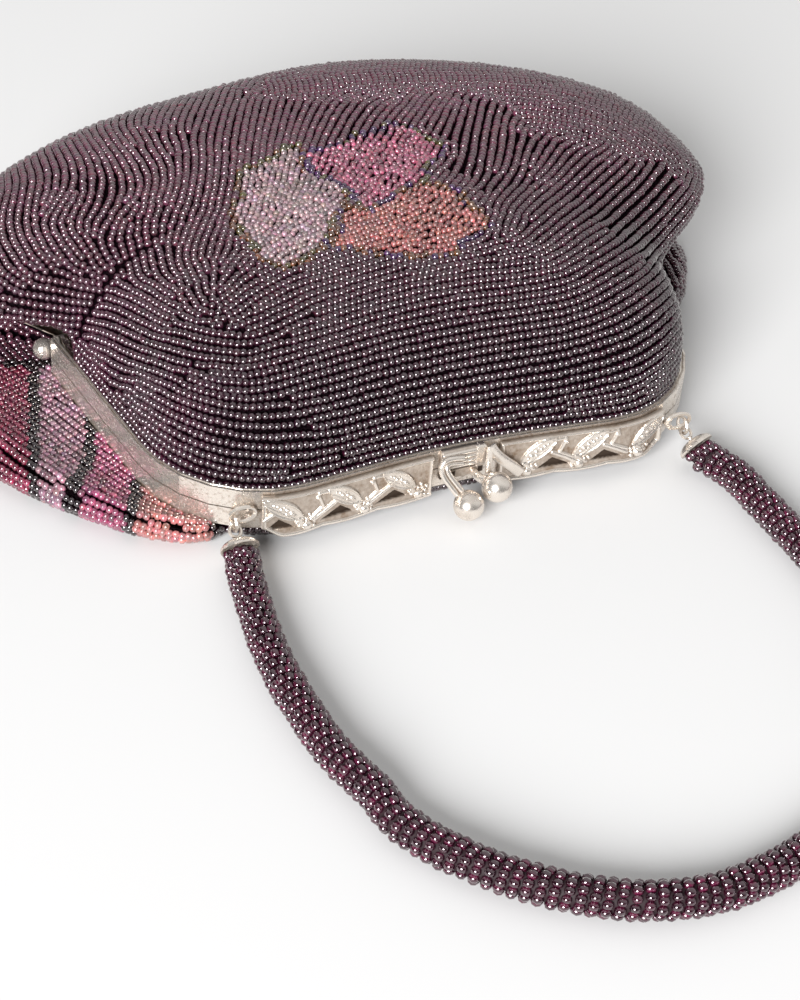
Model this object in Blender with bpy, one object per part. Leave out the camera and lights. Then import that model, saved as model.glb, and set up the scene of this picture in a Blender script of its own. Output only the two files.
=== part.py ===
"""Beaded evening purse with a kiss-lock frame and a beaded rope handle, lying on its back.

Metres, +Z up. The origin is the centre of the flat patch that the pouch rests on. The frame's bar, which
carries the clasp, is towards -Y, the pouch swells towards +Y, and the hinge axis runs along X. The front half
of the frame lies above the parting plane and the back half below it.

Places along the frame are given as (s, n): s runs along the edge where the beads meet the metal, from the
middle of the bar, and n is the distance outward from that edge.
"""

import math

import bmesh
import bpy
import numpy as np
from mathutils import Vector

# Frame outline
BAR_HALF = 0.0644
CORNER_RADIUS = 0.0298
ARM_SPLAY = math.radians(8.0)
ARM_DEPTH = 0.0740
BAR_BOW = 0.0033
BOW_REACH_SHARE = 0.85
BAR_Y = -0.0780
PARTING_Z = 0.0109
CLEARANCE = 0.0003
WELD_SHARE = 0.001

# Frame channel, folded from sheet
HALF_DEPTH = 0.0051
RIM_WIDTH = 0.0013
SHEET = 0.0008
CHANNEL_WIDTH = 0.0030
LIP_HEIGHT = 0.00245
LIP_SHEET = 0.0007
GROOVE_DEPTH = 0.00025
GROOVE_SHARES = (0.66, 0.56, 0.42, 0.32)

# Hinge ears and rivets
EAR_RADIUS = 0.0026
EAR_SHEET = 0.0009
EAR_STRAP = 0.0050
EAR_STRAP_INSET = 0.00015
EAR_END_GAP = 0.0008
RIVET_RADIUS = 0.0009
RIVET_HEAD_RADIUS = 0.0017
RIVET_HEAD = 0.0006
COLLAR_RADIUS = 0.0022
KNOB_RADIUS = 0.00265
COLLAR_SHARE = 0.8

# Cord that grips the cloth in each channel
BINDING_RADIUS = 0.00055
BINDING_END_GAP = 0.0060

# Pouch cloth and lining
CLOTH = 0.0012
LINING = 0.0005
CLOTH_EDGE_GAP = 0.00035
CROWN_Z = 0.0500
CROWN_EXPONENT_LEFT = 2.43
CROWN_EXPONENT_RIGHT = 3.13
CROWN_TURN_SHARE = 0.5
SHOULDER_REACH_LEFT = math.radians(14.0)
SHOULDER_REACH_RIGHT = math.radians(34.0)
SHOULDER_POWER = 0.9
SHOULDER_START = math.radians(3.0)
SHOULDER_RUN = math.radians(15.0)
SEAM_HALF_LEFT = 0.1006
SEAM_HALF_RIGHT = 0.1030
SEAM_DEPTH = 0.0651
SEAM_EXPONENT_LEFT = 2.10
SEAM_EXPONENT_RIGHT = 2.05
SEAM_Z = 0.0190
SEAM_START_RADIUS = 0.0700
SEAM_RUN = math.radians(14.0)
HINGE_BYPASS = 0.0049
BYPASS_REACH = 0.0085
BYPASS_RUN = 0.0040
HINGE_HOLD = math.radians(3.6)
BULGE_LEFT = 0.1080
BULGE_RIGHT = 0.0985
BULGE_REACH_LEFT = math.radians(52.0)
BULGE_REACH_RIGHT = math.radians(40.0)
BULGE_POWER_LEFT = 0.4
BULGE_POWER_RIGHT = 2.0
BULGE_LIFT = 0.0065
BELLY_Z_FRAME = 0.0046
BELLY_Z_FAR = 0.0100
FLOOR_INSET_FRAME = 0.0065
FLOOR_INSET_FAR = 0.0170
NECK_SHARE = 0.25
FOLD_START = math.radians(75.0)
FOLD_END = math.radians(140.0)

# Openwork bands on the bar
BAND_CENTRE = 0.0015
BAND_START = 0.0085
BAND_END = 0.0498
BAND_SHEET = 0.0010
BAND_TOP_Z = 0.0154
BAND_BOTTOM_Z = 0.0044
BAND_END_RISE = 0.0022
BAND_RISE_SHARE = 0.12
SCALLOP = 0.0006
LEAF_COUNT = 3
LEAF_HALF_LENGTH = 0.0041
LEAF_HALF_HEIGHT = 0.0016
LEAF_RAISE = 0.0012
LEAF_TILT = math.radians(20.0)
LEAF_Z = 0.0122
WINDOW_LENGTH = 0.0088
WINDOW_HEIGHT = 0.0026
WINDOW_Z = 0.0056
STEM_RADIUS = 0.00045
STEM_Z = 0.0095
STEM_WAVE = 0.0012
STEM_END_SHARE = 0.03
BERRY_RADIUS = 0.0009

# Clasp
PLATE_LEFT = -0.0048
PLATE_RIGHT = 0.0042
PLATE_LOW_Z = 0.0114
PLATE_HIGH_Z = 0.0157
PLATE_SHEET = 0.0009
RIB_COUNT = 4
RIB_HEIGHT = 0.0005
FRONT_BALL_X = -0.0029
FRONT_BALL_REACH = 0.0100
FRONT_BALL_Z = 0.0085
FRONT_BALL_RADIUS = 0.00365
BACK_BALL_X = 0.0046
BACK_BALL_REACH = 0.0090
BACK_BALL_Z = 0.0113
BACK_BALL_RADIUS = 0.0035
ARM_WIDTH = 0.0017
ARM_SHEET = 0.0010
ARM_BEVEL_SHARE = 0.6
ARM_ROUTE_STEPS = 9
FRONT_ARM_X = -0.0062
BACK_ARM_X = 0.0030

# Eyelets, jump rings and the ends of the handle
EYELET_LEFT_INSET = 0.0112
EYELET_RIGHT_INSET = 0.0080
EYELET_LEFT_X = EYELET_LEFT_INSET - BAR_HALF
EYELET_RIGHT_X = BAR_HALF - EYELET_RIGHT_INSET
EYELET_Y = -0.0778
EYELET_Z = 0.0112
EYELET_HALF_WIDTH = 0.0031
EYELET_HALF_HEIGHT = 0.0020
EYELET_WIRE = 0.0005
EYELET_STUD = 0.0007
RING_OUTWARD = 0.0018
RING_RADIUS = 0.0021
RING_WIRE = 0.00042
RING_SHIFT_Y = 0.0005
RING_DROP = 0.0004
CAP_EYE_RADIUS = 0.00135
CAP_EYE_WIRE = 0.0004
CAP_EYE_SHIFT_Y = -0.00025
CAP_EYE_DROP = 0.00093
CAP_LENGTH = 0.0022
CAP_SHEET = 0.0005
CAP_NECK_RADIUS = 0.0013
CAP_MOUTH_RADIUS = 0.0045
CAP_FLARE_POWER = 0.8
CAP_HEIGHT_POWER = 1.4
STEM_HEAD_SHARE = 0.8
STEM_HOLE_RADIUS = 0.0008
LEFT_END_DIRECTION = (-0.05, -0.87, -0.49)
RIGHT_END_DIRECTION = (0.32, -0.80, -0.46)

# Beaded rope, its route chosen by hand: out of the left cap, round the loop on the table, into the right cap
ROPE_RADIUS = 0.0042
ROPE_FLOOR_Z = 0.00425
ROPE_POINT_SPACING = 0.0120
ROPE_LEAD = 0.0022
ROPE_ROUTE = (
    (-0.0567, -0.0895), (-0.0585, -0.1010), (-0.0598, -0.1100), (-0.0605, -0.1230),
    (-0.0600, -0.1340), (-0.0588, -0.1460), (-0.0550, -0.1600), (-0.0537, -0.1682),
    (-0.0458, -0.1813), (-0.0367, -0.1908), (-0.0268, -0.1981), (-0.0158, -0.2034),
    (-0.0031, -0.2058), (0.0057, -0.2052), (0.0168, -0.2029), (0.0300, -0.1985),
    (0.0420, -0.1905), (0.0520, -0.1795), (0.0595, -0.1660), (0.0645, -0.1510),
    (0.0668, -0.1350), (0.0665, -0.1196), (0.0655, -0.1050), (0.0644, -0.0925),
)

# Facets
STRAIGHT_STEPS = 6
CORNER_STEPS = 6
ARM_STEPS = 3
SEAM_STEPS = 15
RUN_STEPS = 3
CROWN_RINGS = 8
BELLY_RINGS = 3
BALL_SEGMENTS = 16
RING_SEGMENTS = 18
WIRE_SIDES = 6

METAL = ("silvered_metal", (0.80, 0.74, 0.66, 1.0), 0.28, 1.0)
BEADS = ("plum_beads", (0.16, 0.06, 0.10, 1.0), 0.25, 0.0)
HANDLE_BEADS = ("garnet_beads", (0.22, 0.03, 0.08, 1.0), 0.20, 0.0)
SATIN = ("satin_lining", (0.62, 0.50, 0.42, 1.0), 0.45, 0.0)
CORD = ("binding_cord", (0.70, 0.64, 0.54, 1.0), 0.90, 0.0)

TURN = math.pi / 2 - ARM_SPLAY
CORNER_TANGENT = CORNER_RADIUS * math.tan(TURN / 2)
STRAIGHT = BAR_HALF - CORNER_TANGENT
CORNER = CORNER_RADIUS * TURN
ARM = ARM_DEPTH / math.cos(ARM_SPLAY) - CORNER_TANGENT
HINGE_S = STRAIGHT + CORNER + ARM
HINGE_X = BAR_HALF + ARM_DEPTH * math.tan(ARM_SPLAY)
HINGE_Y = BAR_Y + ARM_DEPTH
CHANNEL_END = HINGE_S - EAR_RADIUS - EAR_END_GAP
CLOTH_EDGE = BINDING_RADIUS * 2 + LIP_SHEET + 3 * CLEARANCE
LIP_PASS = LIP_HEIGHT + 2 * CLEARANCE
CROSSING_DROP = EYELET_HALF_HEIGHT * math.sqrt(1 - (RING_OUTWARD / EYELET_HALF_WIDTH) ** 2)
RING_AXIS_Y = EYELET_Y
RING_AXIS_Z = EYELET_Z - CROSSING_DROP
RING_Y = RING_AXIS_Y + RING_SHIFT_Y
RING_Z = RING_AXIS_Z - RING_DROP
HANDLE_AXIS_Y = RING_Y + CAP_EYE_SHIFT_Y
HANDLE_AXIS_Z = RING_Z - CAP_EYE_DROP


def clear_scene():
    """Remove whatever the open file holds."""
    for item in list(bpy.data.objects):
        bpy.data.objects.remove(item)


def surface(kind):
    """The material of one finish, made once."""
    name, colour, roughness, metallic = kind
    made = bpy.data.materials.get(name)
    if made is None:
        made = bpy.data.materials.new(name)
        made.use_nodes = True
        shader = made.node_tree.nodes["Principled BSDF"]
        shader.inputs["Base Color"].default_value = colour
        shader.inputs["Roughness"].default_value = roughness
        shader.inputs["Metallic"].default_value = metallic
    return made


def pivot(name, place):
    """An empty on a joint's axis, which carries what turns there."""
    empty = bpy.data.objects.new(name, None)
    empty.location = place
    bpy.context.collection.objects.link(empty)
    return empty


def add(name, mesh, kind, carrier=None):
    """A named object from a mesh in the part's frame, hung on its carrier."""
    item = bpy.data.objects.new(name, mesh)
    bpy.context.collection.objects.link(item)
    mesh.materials.clear()
    mesh.materials.append(surface(kind))
    if carrier is not None:
        item.parent = carrier
        item.location = -carrier.location
    return item


def solid(points, faces):
    """A closed mesh with its faces pointing out."""
    mesh = bpy.data.meshes.new("solid")
    mesh.from_pydata([tuple(p) for p in points], [], faces)
    work = bmesh.new()
    work.from_mesh(mesh)
    bmesh.ops.remove_doubles(work, verts=work.verts, dist=WELD_SHARE * CLEARANCE)
    bmesh.ops.recalc_face_normals(work, faces=work.faces)
    work.to_mesh(mesh)
    work.free()
    return mesh


def smooth(item, degrees=35.0):
    """Shade round pieces smooth and keep their real edges."""
    item.data.shade_smooth()
    item.data.set_sharp_from_angle(angle=math.radians(degrees))
    return item


def swept(rings, closed=False):
    """A closed solid through rings of points, joined end to end or capped."""
    count, sides = rings.shape[:2]
    last = count if closed else count - 1
    index = np.arange(count * sides).reshape(count, sides)
    faces = []
    for i in range(last):
        here, there = index[i], index[(i + 1) % count]
        faces += [(here[k], here[(k + 1) % sides], there[(k + 1) % sides], there[k]) for k in range(sides)]
    if not closed:
        faces += [tuple(index[0][::-1]), tuple(index[-1])]
    return solid(rings.reshape(-1, 3), [tuple(int(v) for v in f) for f in faces])


def turned(profile, start, axis, segments, closed=False):
    """A solid of revolution: profile is (radius, height) along an axis from start."""
    along = Vector(axis).normalized()
    across = along.orthogonal().normalized()
    beside = along.cross(across)
    angles = np.linspace(0, 2 * np.pi, segments, endpoint=False)
    spokes = np.cos(angles)[:, None] * np.array(across) + np.sin(angles)[:, None] * np.array(beside)
    radius = np.array([p[0] for p in profile])
    height = np.array([p[1] for p in profile])
    rings = np.array(start) + radius[None, :, None] * spokes[:, None, :]
    rings = rings + height[None, :, None] * np.array(along)
    if closed:
        return swept(rings, closed=True)
    count, sides = segments, len(profile)
    index = np.arange(count * sides).reshape(count, sides)
    faces = [
        (index[i, k], index[i, k + 1], index[(i + 1) % count, k + 1], index[(i + 1) % count, k])
        for i in range(count)
        for k in range(sides - 1)
    ]
    return solid(rings.reshape(-1, 3), [tuple(int(v) for v in f) for f in faces])


def ball_profile(radius, steps=BALL_SEGMENTS // 2):
    """Half a circle from pole to pole, centred on height zero."""
    angles = np.linspace(0, np.pi, steps + 1)
    return [(radius * math.sin(a), -radius * math.cos(a)) for a in angles]


def joined(base, others, operation="UNION"):
    """Base joined with, or cut by, other meshes, exactly."""
    item = bpy.data.objects.new("work", base)
    bpy.context.collection.objects.link(item)
    for other in others:
        tool = bpy.data.objects.new("tool", other)
        bpy.context.collection.objects.link(tool)
        modifier = item.modifiers.new("join", "BOOLEAN")
        modifier.operation = operation
        modifier.solver = "EXACT"
        modifier.object = tool
        graph = bpy.context.evaluated_depsgraph_get()
        result = bpy.data.meshes.new_from_object(item.evaluated_get(graph))
        item.modifiers.clear()
        item.data = result
        bpy.data.objects.remove(tool)
    mesh = item.data
    bpy.data.objects.remove(item)
    return mesh


def rim(s, n):
    """Plan positions of places (s, n) along the frame: bar, corner arc, splayed arm and the bar's bow."""
    s, n = np.broadcast_arrays(np.asarray(s, float), np.asarray(n, float))
    run = np.abs(s)
    angle = np.clip((run - STRAIGHT) / CORNER_RADIUS, 0, TURN)
    beyond = np.maximum(run - STRAIGHT - CORNER, 0)
    x = np.minimum(run, STRAIGHT) + (CORNER_RADIUS + n) * np.sin(angle) + beyond * math.cos(TURN)
    y = CORNER_RADIUS - (CORNER_RADIUS + n) * np.cos(angle) + beyond * math.sin(TURN)
    bow = np.clip(x / (BOW_REACH_SHARE * BAR_HALF), -1, 1)
    y = y + BAR_BOW * 0.5 * (1 + np.cos(np.pi * bow))
    return np.copysign(x, s), y + BAR_Y


def rim_stations(end):
    """Places s from one arm's end to the other's, close together round the corners."""
    half = np.concatenate([
        np.linspace(0, STRAIGHT, STRAIGHT_STEPS, endpoint=False),
        np.linspace(STRAIGHT, STRAIGHT + CORNER, CORNER_STEPS, endpoint=False),
        np.linspace(STRAIGHT + CORNER, end, ARM_STEPS),
    ])
    return np.concatenate([-half[:0:-1], half])


def along_rim(stations, section):
    """Rings of a cross-section, (n, z) points, carried along the frame."""
    n = np.array([p[0] for p in section])
    z = np.array([p[1] for p in section])
    x, y = rim(stations[:, None], n[None, :])
    return np.stack([x, y, np.broadcast_to(z, x.shape)], axis=-1)


def channel_section(side):
    """The folded channel of one half: wall, grooved rim, parting flange and inner lip."""
    groove = [
        (RIM_WIDTH * share, HALF_DEPTH - (GROOVE_DEPTH if k in (1, 2) else 0))
        for k, share in enumerate(GROOVE_SHARES)
    ]
    base = CLEARANCE / 2
    outline = [(RIM_WIDTH, base), (RIM_WIDTH, HALF_DEPTH)] + groove + [
        (0, HALF_DEPTH), (0, HALF_DEPTH - SHEET), (RIM_WIDTH - SHEET, HALF_DEPTH - SHEET),
        (RIM_WIDTH - SHEET, base + LIP_SHEET), (LIP_SHEET - CHANNEL_WIDTH, base + LIP_SHEET),
        (LIP_SHEET - CHANNEL_WIDTH, LIP_HEIGHT), (-CHANNEL_WIDTH, LIP_HEIGHT), (-CHANNEL_WIDTH, base),
    ]
    return [(n, PARTING_Z + side * h) for n, h in outline]


def ear_mesh(side, hand, n, low, high):
    """A hinge ear: a round plate square to the hinge axis, with a strap that runs back onto the frame."""
    angles = np.linspace(-0.5 * np.pi, 0.5 * np.pi, BALL_SEGMENTS // 2)
    round_y = HINGE_Y + EAR_RADIUS * np.cos(angles)
    round_z = PARTING_Z + EAR_RADIUS * np.sin(angles)
    strap_y = HINGE_Y - EAR_RADIUS - EAR_STRAP
    bottom, top = sorted((PARTING_Z + side * low, PARTING_Z + side * high))
    neck = np.array([HINGE_Y - EAR_RADIUS] * 2)
    y = np.concatenate([round_y, neck[:1], [strap_y, strap_y], neck[1:]])
    z = np.concatenate([round_z, [top], [top, bottom], [bottom]])
    plane = HINGE_X + n / math.cos(ARM_SPLAY) - math.tan(ARM_SPLAY) * EAR_RADIUS
    lean = math.tan(ARM_SPLAY) * np.maximum(HINGE_Y - EAR_RADIUS - y, 0)
    rings = [
        np.stack([hand * (plane - lean + offset), y, z], axis=-1)
        for offset in (-EAR_SHEET / 2, EAR_SHEET / 2)
    ]
    hole = turned(
        [(0, -EAR_RADIUS), (RIVET_RADIUS + CLEARANCE, -EAR_RADIUS), (RIVET_RADIUS + CLEARANCE, EAR_RADIUS),
         (0, EAR_RADIUS)],
        (hand * plane, HINGE_Y, PARTING_Z), (1, 0, 0), BALL_SEGMENTS)
    return joined(swept(np.array(rings)), [hole], "DIFFERENCE")


def ear_place(side):
    """Where an ear stands: the front ear on its inner lip, the back ear just outside it."""
    front = LIP_SHEET / 2 - CHANNEL_WIDTH
    return front if side > 0 else front + (EAR_SHEET + CLEARANCE) * math.cos(ARM_SPLAY)


def frame_half(name, side, carrier):
    """One half of the kiss-lock frame, with its two hinge ears."""
    channel = swept(along_rim(rim_stations(CHANNEL_END), channel_section(side)))
    low = CLEARANCE / 2 + EAR_STRAP_INSET * (1 if side > 0 else 2)
    high = LIP_HEIGHT - EAR_STRAP_INSET
    ears = [ear_mesh(side, hand, ear_place(side), low, high) for hand in (-1, 1)]
    return smooth(add(name, joined(channel, ears), METAL, carrier), 30.0)


def binding(name, side, carrier):
    """The cord pressed into a channel to hold the cloth's edge."""
    end = HINGE_S - EAR_RADIUS - EAR_STRAP - BINDING_END_GAP / 2
    middle_n = CLOTH_EDGE_GAP + CLOTH / 2
    middle_z = CLEARANCE / 2 + LIP_SHEET + CLEARANCE + BINDING_RADIUS
    angles = np.linspace(0, 2 * np.pi, WIRE_SIDES, endpoint=False)
    section = [
        (BINDING_RADIUS * math.cos(a) - middle_n, PARTING_Z + side * (middle_z + BINDING_RADIUS * math.sin(a)))
        for a in angles
    ]
    return smooth(add(name, swept(along_rim(rim_stations(end), section)), CORD, carrier), 80.0)


def rivet(name, hand):
    """A hinge rivet: inner head, shank, collar and the ball knob outside."""
    ear_x = HINGE_X + ear_place(1) / math.cos(ARM_SPLAY) - math.tan(ARM_SPLAY) * EAR_RADIUS
    inner_face = ear_x - EAR_SHEET / 2
    outer_face = inner_face + 2 * EAR_SHEET + CLEARANCE
    head = inner_face - CLEARANCE
    collar = outer_face + CLEARANCE
    middle = collar + KNOB_RADIUS
    neck = math.asin(COLLAR_RADIUS / KNOB_RADIUS * COLLAR_SHARE)
    angles = np.linspace(math.pi + neck, 2 * math.pi, BALL_SEGMENTS // 2 + 1) - math.pi
    knob = [(KNOB_RADIUS * math.sin(a), middle - KNOB_RADIUS * math.cos(a)) for a in angles]
    profile = [
        (0, head - RIVET_HEAD), (RIVET_HEAD_RADIUS, head - RIVET_HEAD), (RIVET_HEAD_RADIUS, head),
        (RIVET_RADIUS, head), (RIVET_RADIUS, collar), (COLLAR_RADIUS, collar),
        (COLLAR_RADIUS, collar + RIVET_HEAD / 2),
    ] + knob
    mesh = turned(profile, (0, HINGE_Y, PARTING_Z), (hand, 0, 0), BALL_SEGMENTS)
    return smooth(add(name, mesh, METAL))


def seam_radius(angle):
    """Radius of the side and bottom seam at an angle from +X: two quarter superellipses."""
    c, s = np.cos(angle), np.abs(np.sin(angle))
    left = c < 0
    half = np.where(left, SEAM_HALF_LEFT, SEAM_HALF_RIGHT)
    power = np.where(left, SEAM_EXPONENT_LEFT, SEAM_EXPONENT_RIGHT)
    return ((np.abs(c) / half) ** power + (s / SEAM_DEPTH) ** power) ** (-1 / power)


def ease(t):
    """A smooth step from 0 to 1."""
    t = np.clip(t, 0, 1)
    return t * t * (3 - 2 * t)


def pouch_edge(side):
    """Edge of a panel, once round: angle, radius, height and how far the place is on to the free seam.

    Along the frame the edge sits in the channel. Near the hinge it first comes out past the channel's lip,
    then passes inside the ears, and beyond the hinge it runs out to the seam.
    """
    clear = HINGE_S - BYPASS_REACH
    leave = clear - 2 * BYPASS_RUN
    extra = np.array([leave + BYPASS_RUN, clear, HINGE_S])
    s = rim_stations(leave)
    s = np.concatenate([-extra[::-1], s, extra])
    lifted = np.clip((np.abs(s) - leave) / BYPASS_RUN, 0, 1)
    past = np.clip((np.abs(s) - leave - BYPASS_RUN) / BYPASS_RUN, 0, 1)
    n = -(CLOTH_EDGE_GAP + (HINGE_BYPASS - CLOTH_EDGE_GAP) * past)
    x, y = rim(s, n)
    held_angle = np.unwrap(np.arctan2(y, x))
    held_radius = np.hypot(x, y)
    first, last = held_angle[-1] + HINGE_HOLD, held_angle[0] + 2 * math.pi - HINGE_HOLD
    run = SEAM_RUN * np.arange(RUN_STEPS) / RUN_STEPS
    far = np.linspace(first + SEAM_RUN, last - SEAM_RUN, SEAM_STEPS)
    free_angle = np.concatenate([first + run, far, last - run[::-1]])
    out = ease(np.minimum(free_angle - first, last - free_angle) / SEAM_RUN)
    free_radius = SEAM_START_RADIUS + (seam_radius(free_angle) - SEAM_START_RADIUS) * out
    angle = np.concatenate([held_angle, free_angle])
    radius = np.concatenate([held_radius, free_radius])
    free = np.concatenate([np.zeros(len(s)), out])
    held = np.concatenate([CLOTH_EDGE + (LIP_PASS - CLOTH_EDGE) * lifted, np.full(len(out), LIP_PASS)])
    held_z = PARTING_Z + side * held
    z = held_z + (SEAM_Z + side * CLEARANCE / 2 - held_z) * free
    return angle, radius, z, free


def normals_of(points):
    """Unit normals of a grid of points whose first direction closes on itself."""
    around = np.roll(points, -1, axis=0) - np.roll(points, 1, axis=0)
    inward = np.gradient(points, axis=1)
    normal = np.cross(around, inward)
    return normal / np.linalg.norm(normal, axis=-1, keepdims=True)


def swelling(angle, reach_left, reach_right, power_left, power_right):
    """How far the pouch swells out over an arm: 1 from the hinge line on, falling to 0 along the frame."""
    right = np.cos(angle) > 0
    past = np.where(np.sin(angle) < 0, np.abs(np.arcsin(np.clip(np.sin(angle), -1, 0))), 0)
    reach = np.where(right, reach_right, reach_left)
    power = np.where(right, power_right, power_left)
    return np.cos(np.clip(past / reach, 0, 1) * math.pi / 2) ** power


def front_points(bulging):
    """The crowned front panel: a superellipse of height over each ray from its edge to the middle.

    Near the hinges it stands up from the frame and then swells out over the arms. The lining is cut
    without that swelling.
    """
    angle, radius, edge_z, free = pouch_edge(1)
    weight = ease(np.cos(angle) + CROWN_TURN_SHARE)
    exponent = (CROWN_EXPONENT_LEFT + (CROWN_EXPONENT_RIGHT - CROWN_EXPONENT_LEFT) * weight)[:, None]
    turn = np.linspace(SHOULDER_START, math.pi / 2, CROWN_RINGS + 1)[:-1]
    turn = np.concatenate([[0], turn])[None, :]
    reach = np.cos(turn) ** (2 / exponent)
    rise = np.sin(turn) ** (2 / exponent)
    swell = swelling(angle, SHOULDER_REACH_LEFT, SHOULDER_REACH_RIGHT, SHOULDER_POWER, SHOULDER_POWER)
    over = (np.maximum(seam_radius(angle) - radius, 0) * swell * bulging)[:, None]
    r = radius[:, None] * reach + over * reach * ease((turn - SHOULDER_START) / SHOULDER_RUN)
    z = edge_z[:, None] + (CROWN_Z - edge_z[:, None]) * rise
    return np.stack([r * np.cos(angle)[:, None], r * np.sin(angle)[:, None], z], axis=-1)


def back_points(bulging):
    """The back panel: out of the channel, out over the table in its bulge, round and flat along the table.

    The lining is cut without the bulge and drops straight from the frame.
    """
    angle, radius, edge_z, free = pouch_edge(-1)
    swell = swelling(angle, BULGE_REACH_LEFT, BULGE_REACH_RIGHT, BULGE_POWER_LEFT, BULGE_POWER_RIGHT)
    out = np.where(np.cos(angle) > 0, BULGE_RIGHT, BULGE_LEFT)
    out = out + (np.maximum(seam_radius(angle), radius) - out) * free
    belly_r = radius + np.maximum(out - radius, 0) * swell * bulging
    belly_z = BELLY_Z_FRAME + (BELLY_Z_FAR - BELLY_Z_FRAME) * free
    held_neck_z = PARTING_Z - HALF_DEPTH - 3 * CLEARANCE
    free_neck_z = edge_z + (belly_z - edge_z) * NECK_SHARE
    neck_z = held_neck_z + (free_neck_z - held_neck_z) * free
    t = np.linspace(0, math.pi / 2, BELLY_RINGS + 2)[None, :]
    lift = BULGE_LIFT * np.sqrt((belly_r - radius) / (BULGE_LEFT - SEAM_START_RADIUS))
    floor_inset = FLOOR_INSET_FRAME + (FLOOR_INSET_FAR - FLOOR_INSET_FRAME) * free
    upper_r = radius[:, None] + (belly_r - radius)[:, None] * np.sin(t)
    upper_z = belly_z[:, None] + (neck_z - belly_z)[:, None] * np.cos(t)
    upper_z = upper_z + lift[:, None] * np.sin(2 * t) * np.sin(t) ** 2
    lower_t = t[:, 1:]
    lower_r = belly_r[:, None] - floor_inset[:, None] * (1 - np.cos(lower_t))
    lower_z = belly_z[:, None] * (1 - np.sin(lower_t))
    r = np.concatenate([radius[:, None], upper_r, lower_r], axis=1)
    z = np.concatenate([edge_z[:, None], upper_z, lower_z], axis=1)
    return np.stack([r * np.cos(angle)[:, None], r * np.sin(angle)[:, None], z], axis=-1)


def panel(points, side, near, far):
    """A closed cloth shell between two distances inward from the sheet through the points."""
    free = pouch_edge(side)[3]
    normal = -side * normals_of(points)
    if side < 0:
        normal[:, -1] = (0, 0, 1)
    count, rings = points.shape[:2]
    index = np.arange(count * rings).reshape(count, rings)
    ahead = np.roll(index, -1, axis=0)
    pole = count * rings
    faces, sheets = [], []
    for depth, start in ((near, 0), (far, pole + 1)):
        sheet = points + normal * depth
        held_z = PARTING_Z + side * LIP_PASS if near else points[:, 0, 2]
        sheet[:, 0, 2] = np.where(free > 0, points[:, 0, 2], held_z)
        crown = (0, 0, CROWN_Z - depth if side > 0 else depth)
        sheets += [sheet.reshape(-1, 3), np.array([crown])]
        part = [(index[i, -1], ahead[i, -1], pole) for i in range(count)]
        for k in range(rings - 1):
            part += [(index[i, k], ahead[i, k], ahead[i, k + 1]) for i in range(count)]
            part += [(index[i, k], ahead[i, k + 1], index[i, k + 1]) for i in range(count)]
        faces += [tuple(int(v) + start for v in (f if start == 0 else f[::-1])) for f in part]
    faces += [
        tuple(int(v) for v in (ahead[i, 0], index[i, 0], index[i, 0] + pole + 1, ahead[i, 0] + pole + 1))
        for i in range(count)
    ]
    return solid(np.concatenate(sheets), faces)


def parted(mesh, low, high):
    """The part of a shell between two planes through the hinge axis, with a running gap at each."""
    work = bmesh.new()
    work.from_mesh(mesh)
    for angle, keep in ((low, 1), (high, -1)):
        if angle is None:
            continue
        normal = Vector((0, math.sin(angle), math.cos(angle))) * keep
        place = Vector((0, HINGE_Y, PARTING_Z)) + normal * (CLEARANCE / 2)
        everything = work.verts[:] + work.edges[:] + work.faces[:]
        bmesh.ops.bisect_plane(work, geom=everything, plane_co=place, plane_no=normal, clear_inner=True)
        edges = [e for e in work.edges if e.is_boundary]
        bmesh.ops.triangle_fill(work, edges=edges, use_beauty=True, use_dissolve=False)
    bmesh.ops.recalc_face_normals(work, faces=work.faces)
    result = bpy.data.meshes.new("parted")
    work.to_mesh(result)
    work.free()
    return result


def cloth_pieces(front_half):
    """The pouch and its lining: back panels, and front panels parted where the mouth folds open."""
    inset = CLOTH + CLEARANCE
    for name, near, far, kind in (("pouch", 0, CLOTH, BEADS), ("lining", inset, inset + LINING, SATIN)):
        front = panel(front_points(near == 0), 1, near, far)
        back = panel(back_points(near == 0), -1, near, far)
        smooth(add(name + "_front_upper", parted(front, None, FOLD_START), kind, front_half), 60.0)
        smooth(add(name + "_front_fold", parted(front, FOLD_START, FOLD_END), kind), 60.0)
        smooth(add(name + "_front_lower", parted(front, FOLD_END, None), kind), 60.0)
        smooth(add(name + "_back_panel", back, kind), 60.0)


def blob(centre, half_sizes, tilt=0.0, detail=2):
    """A rounded boss in the flat space of a band: (s, n, z)."""
    work = bmesh.new()
    bmesh.ops.create_icosphere(work, subdivisions=detail, radius=1)
    for vert in work.verts:
        a, b, c = vert.co.x * half_sizes[0], vert.co.y * half_sizes[1], vert.co.z * half_sizes[2]
        turned_a = a * math.cos(tilt) - c * math.sin(tilt)
        turned_c = a * math.sin(tilt) + c * math.cos(tilt)
        vert.co = (centre[0] + turned_a, centre[1] + b, centre[2] + turned_c)
    mesh = bpy.data.meshes.new("blob")
    work.to_mesh(mesh)
    work.free()
    return mesh


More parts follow.
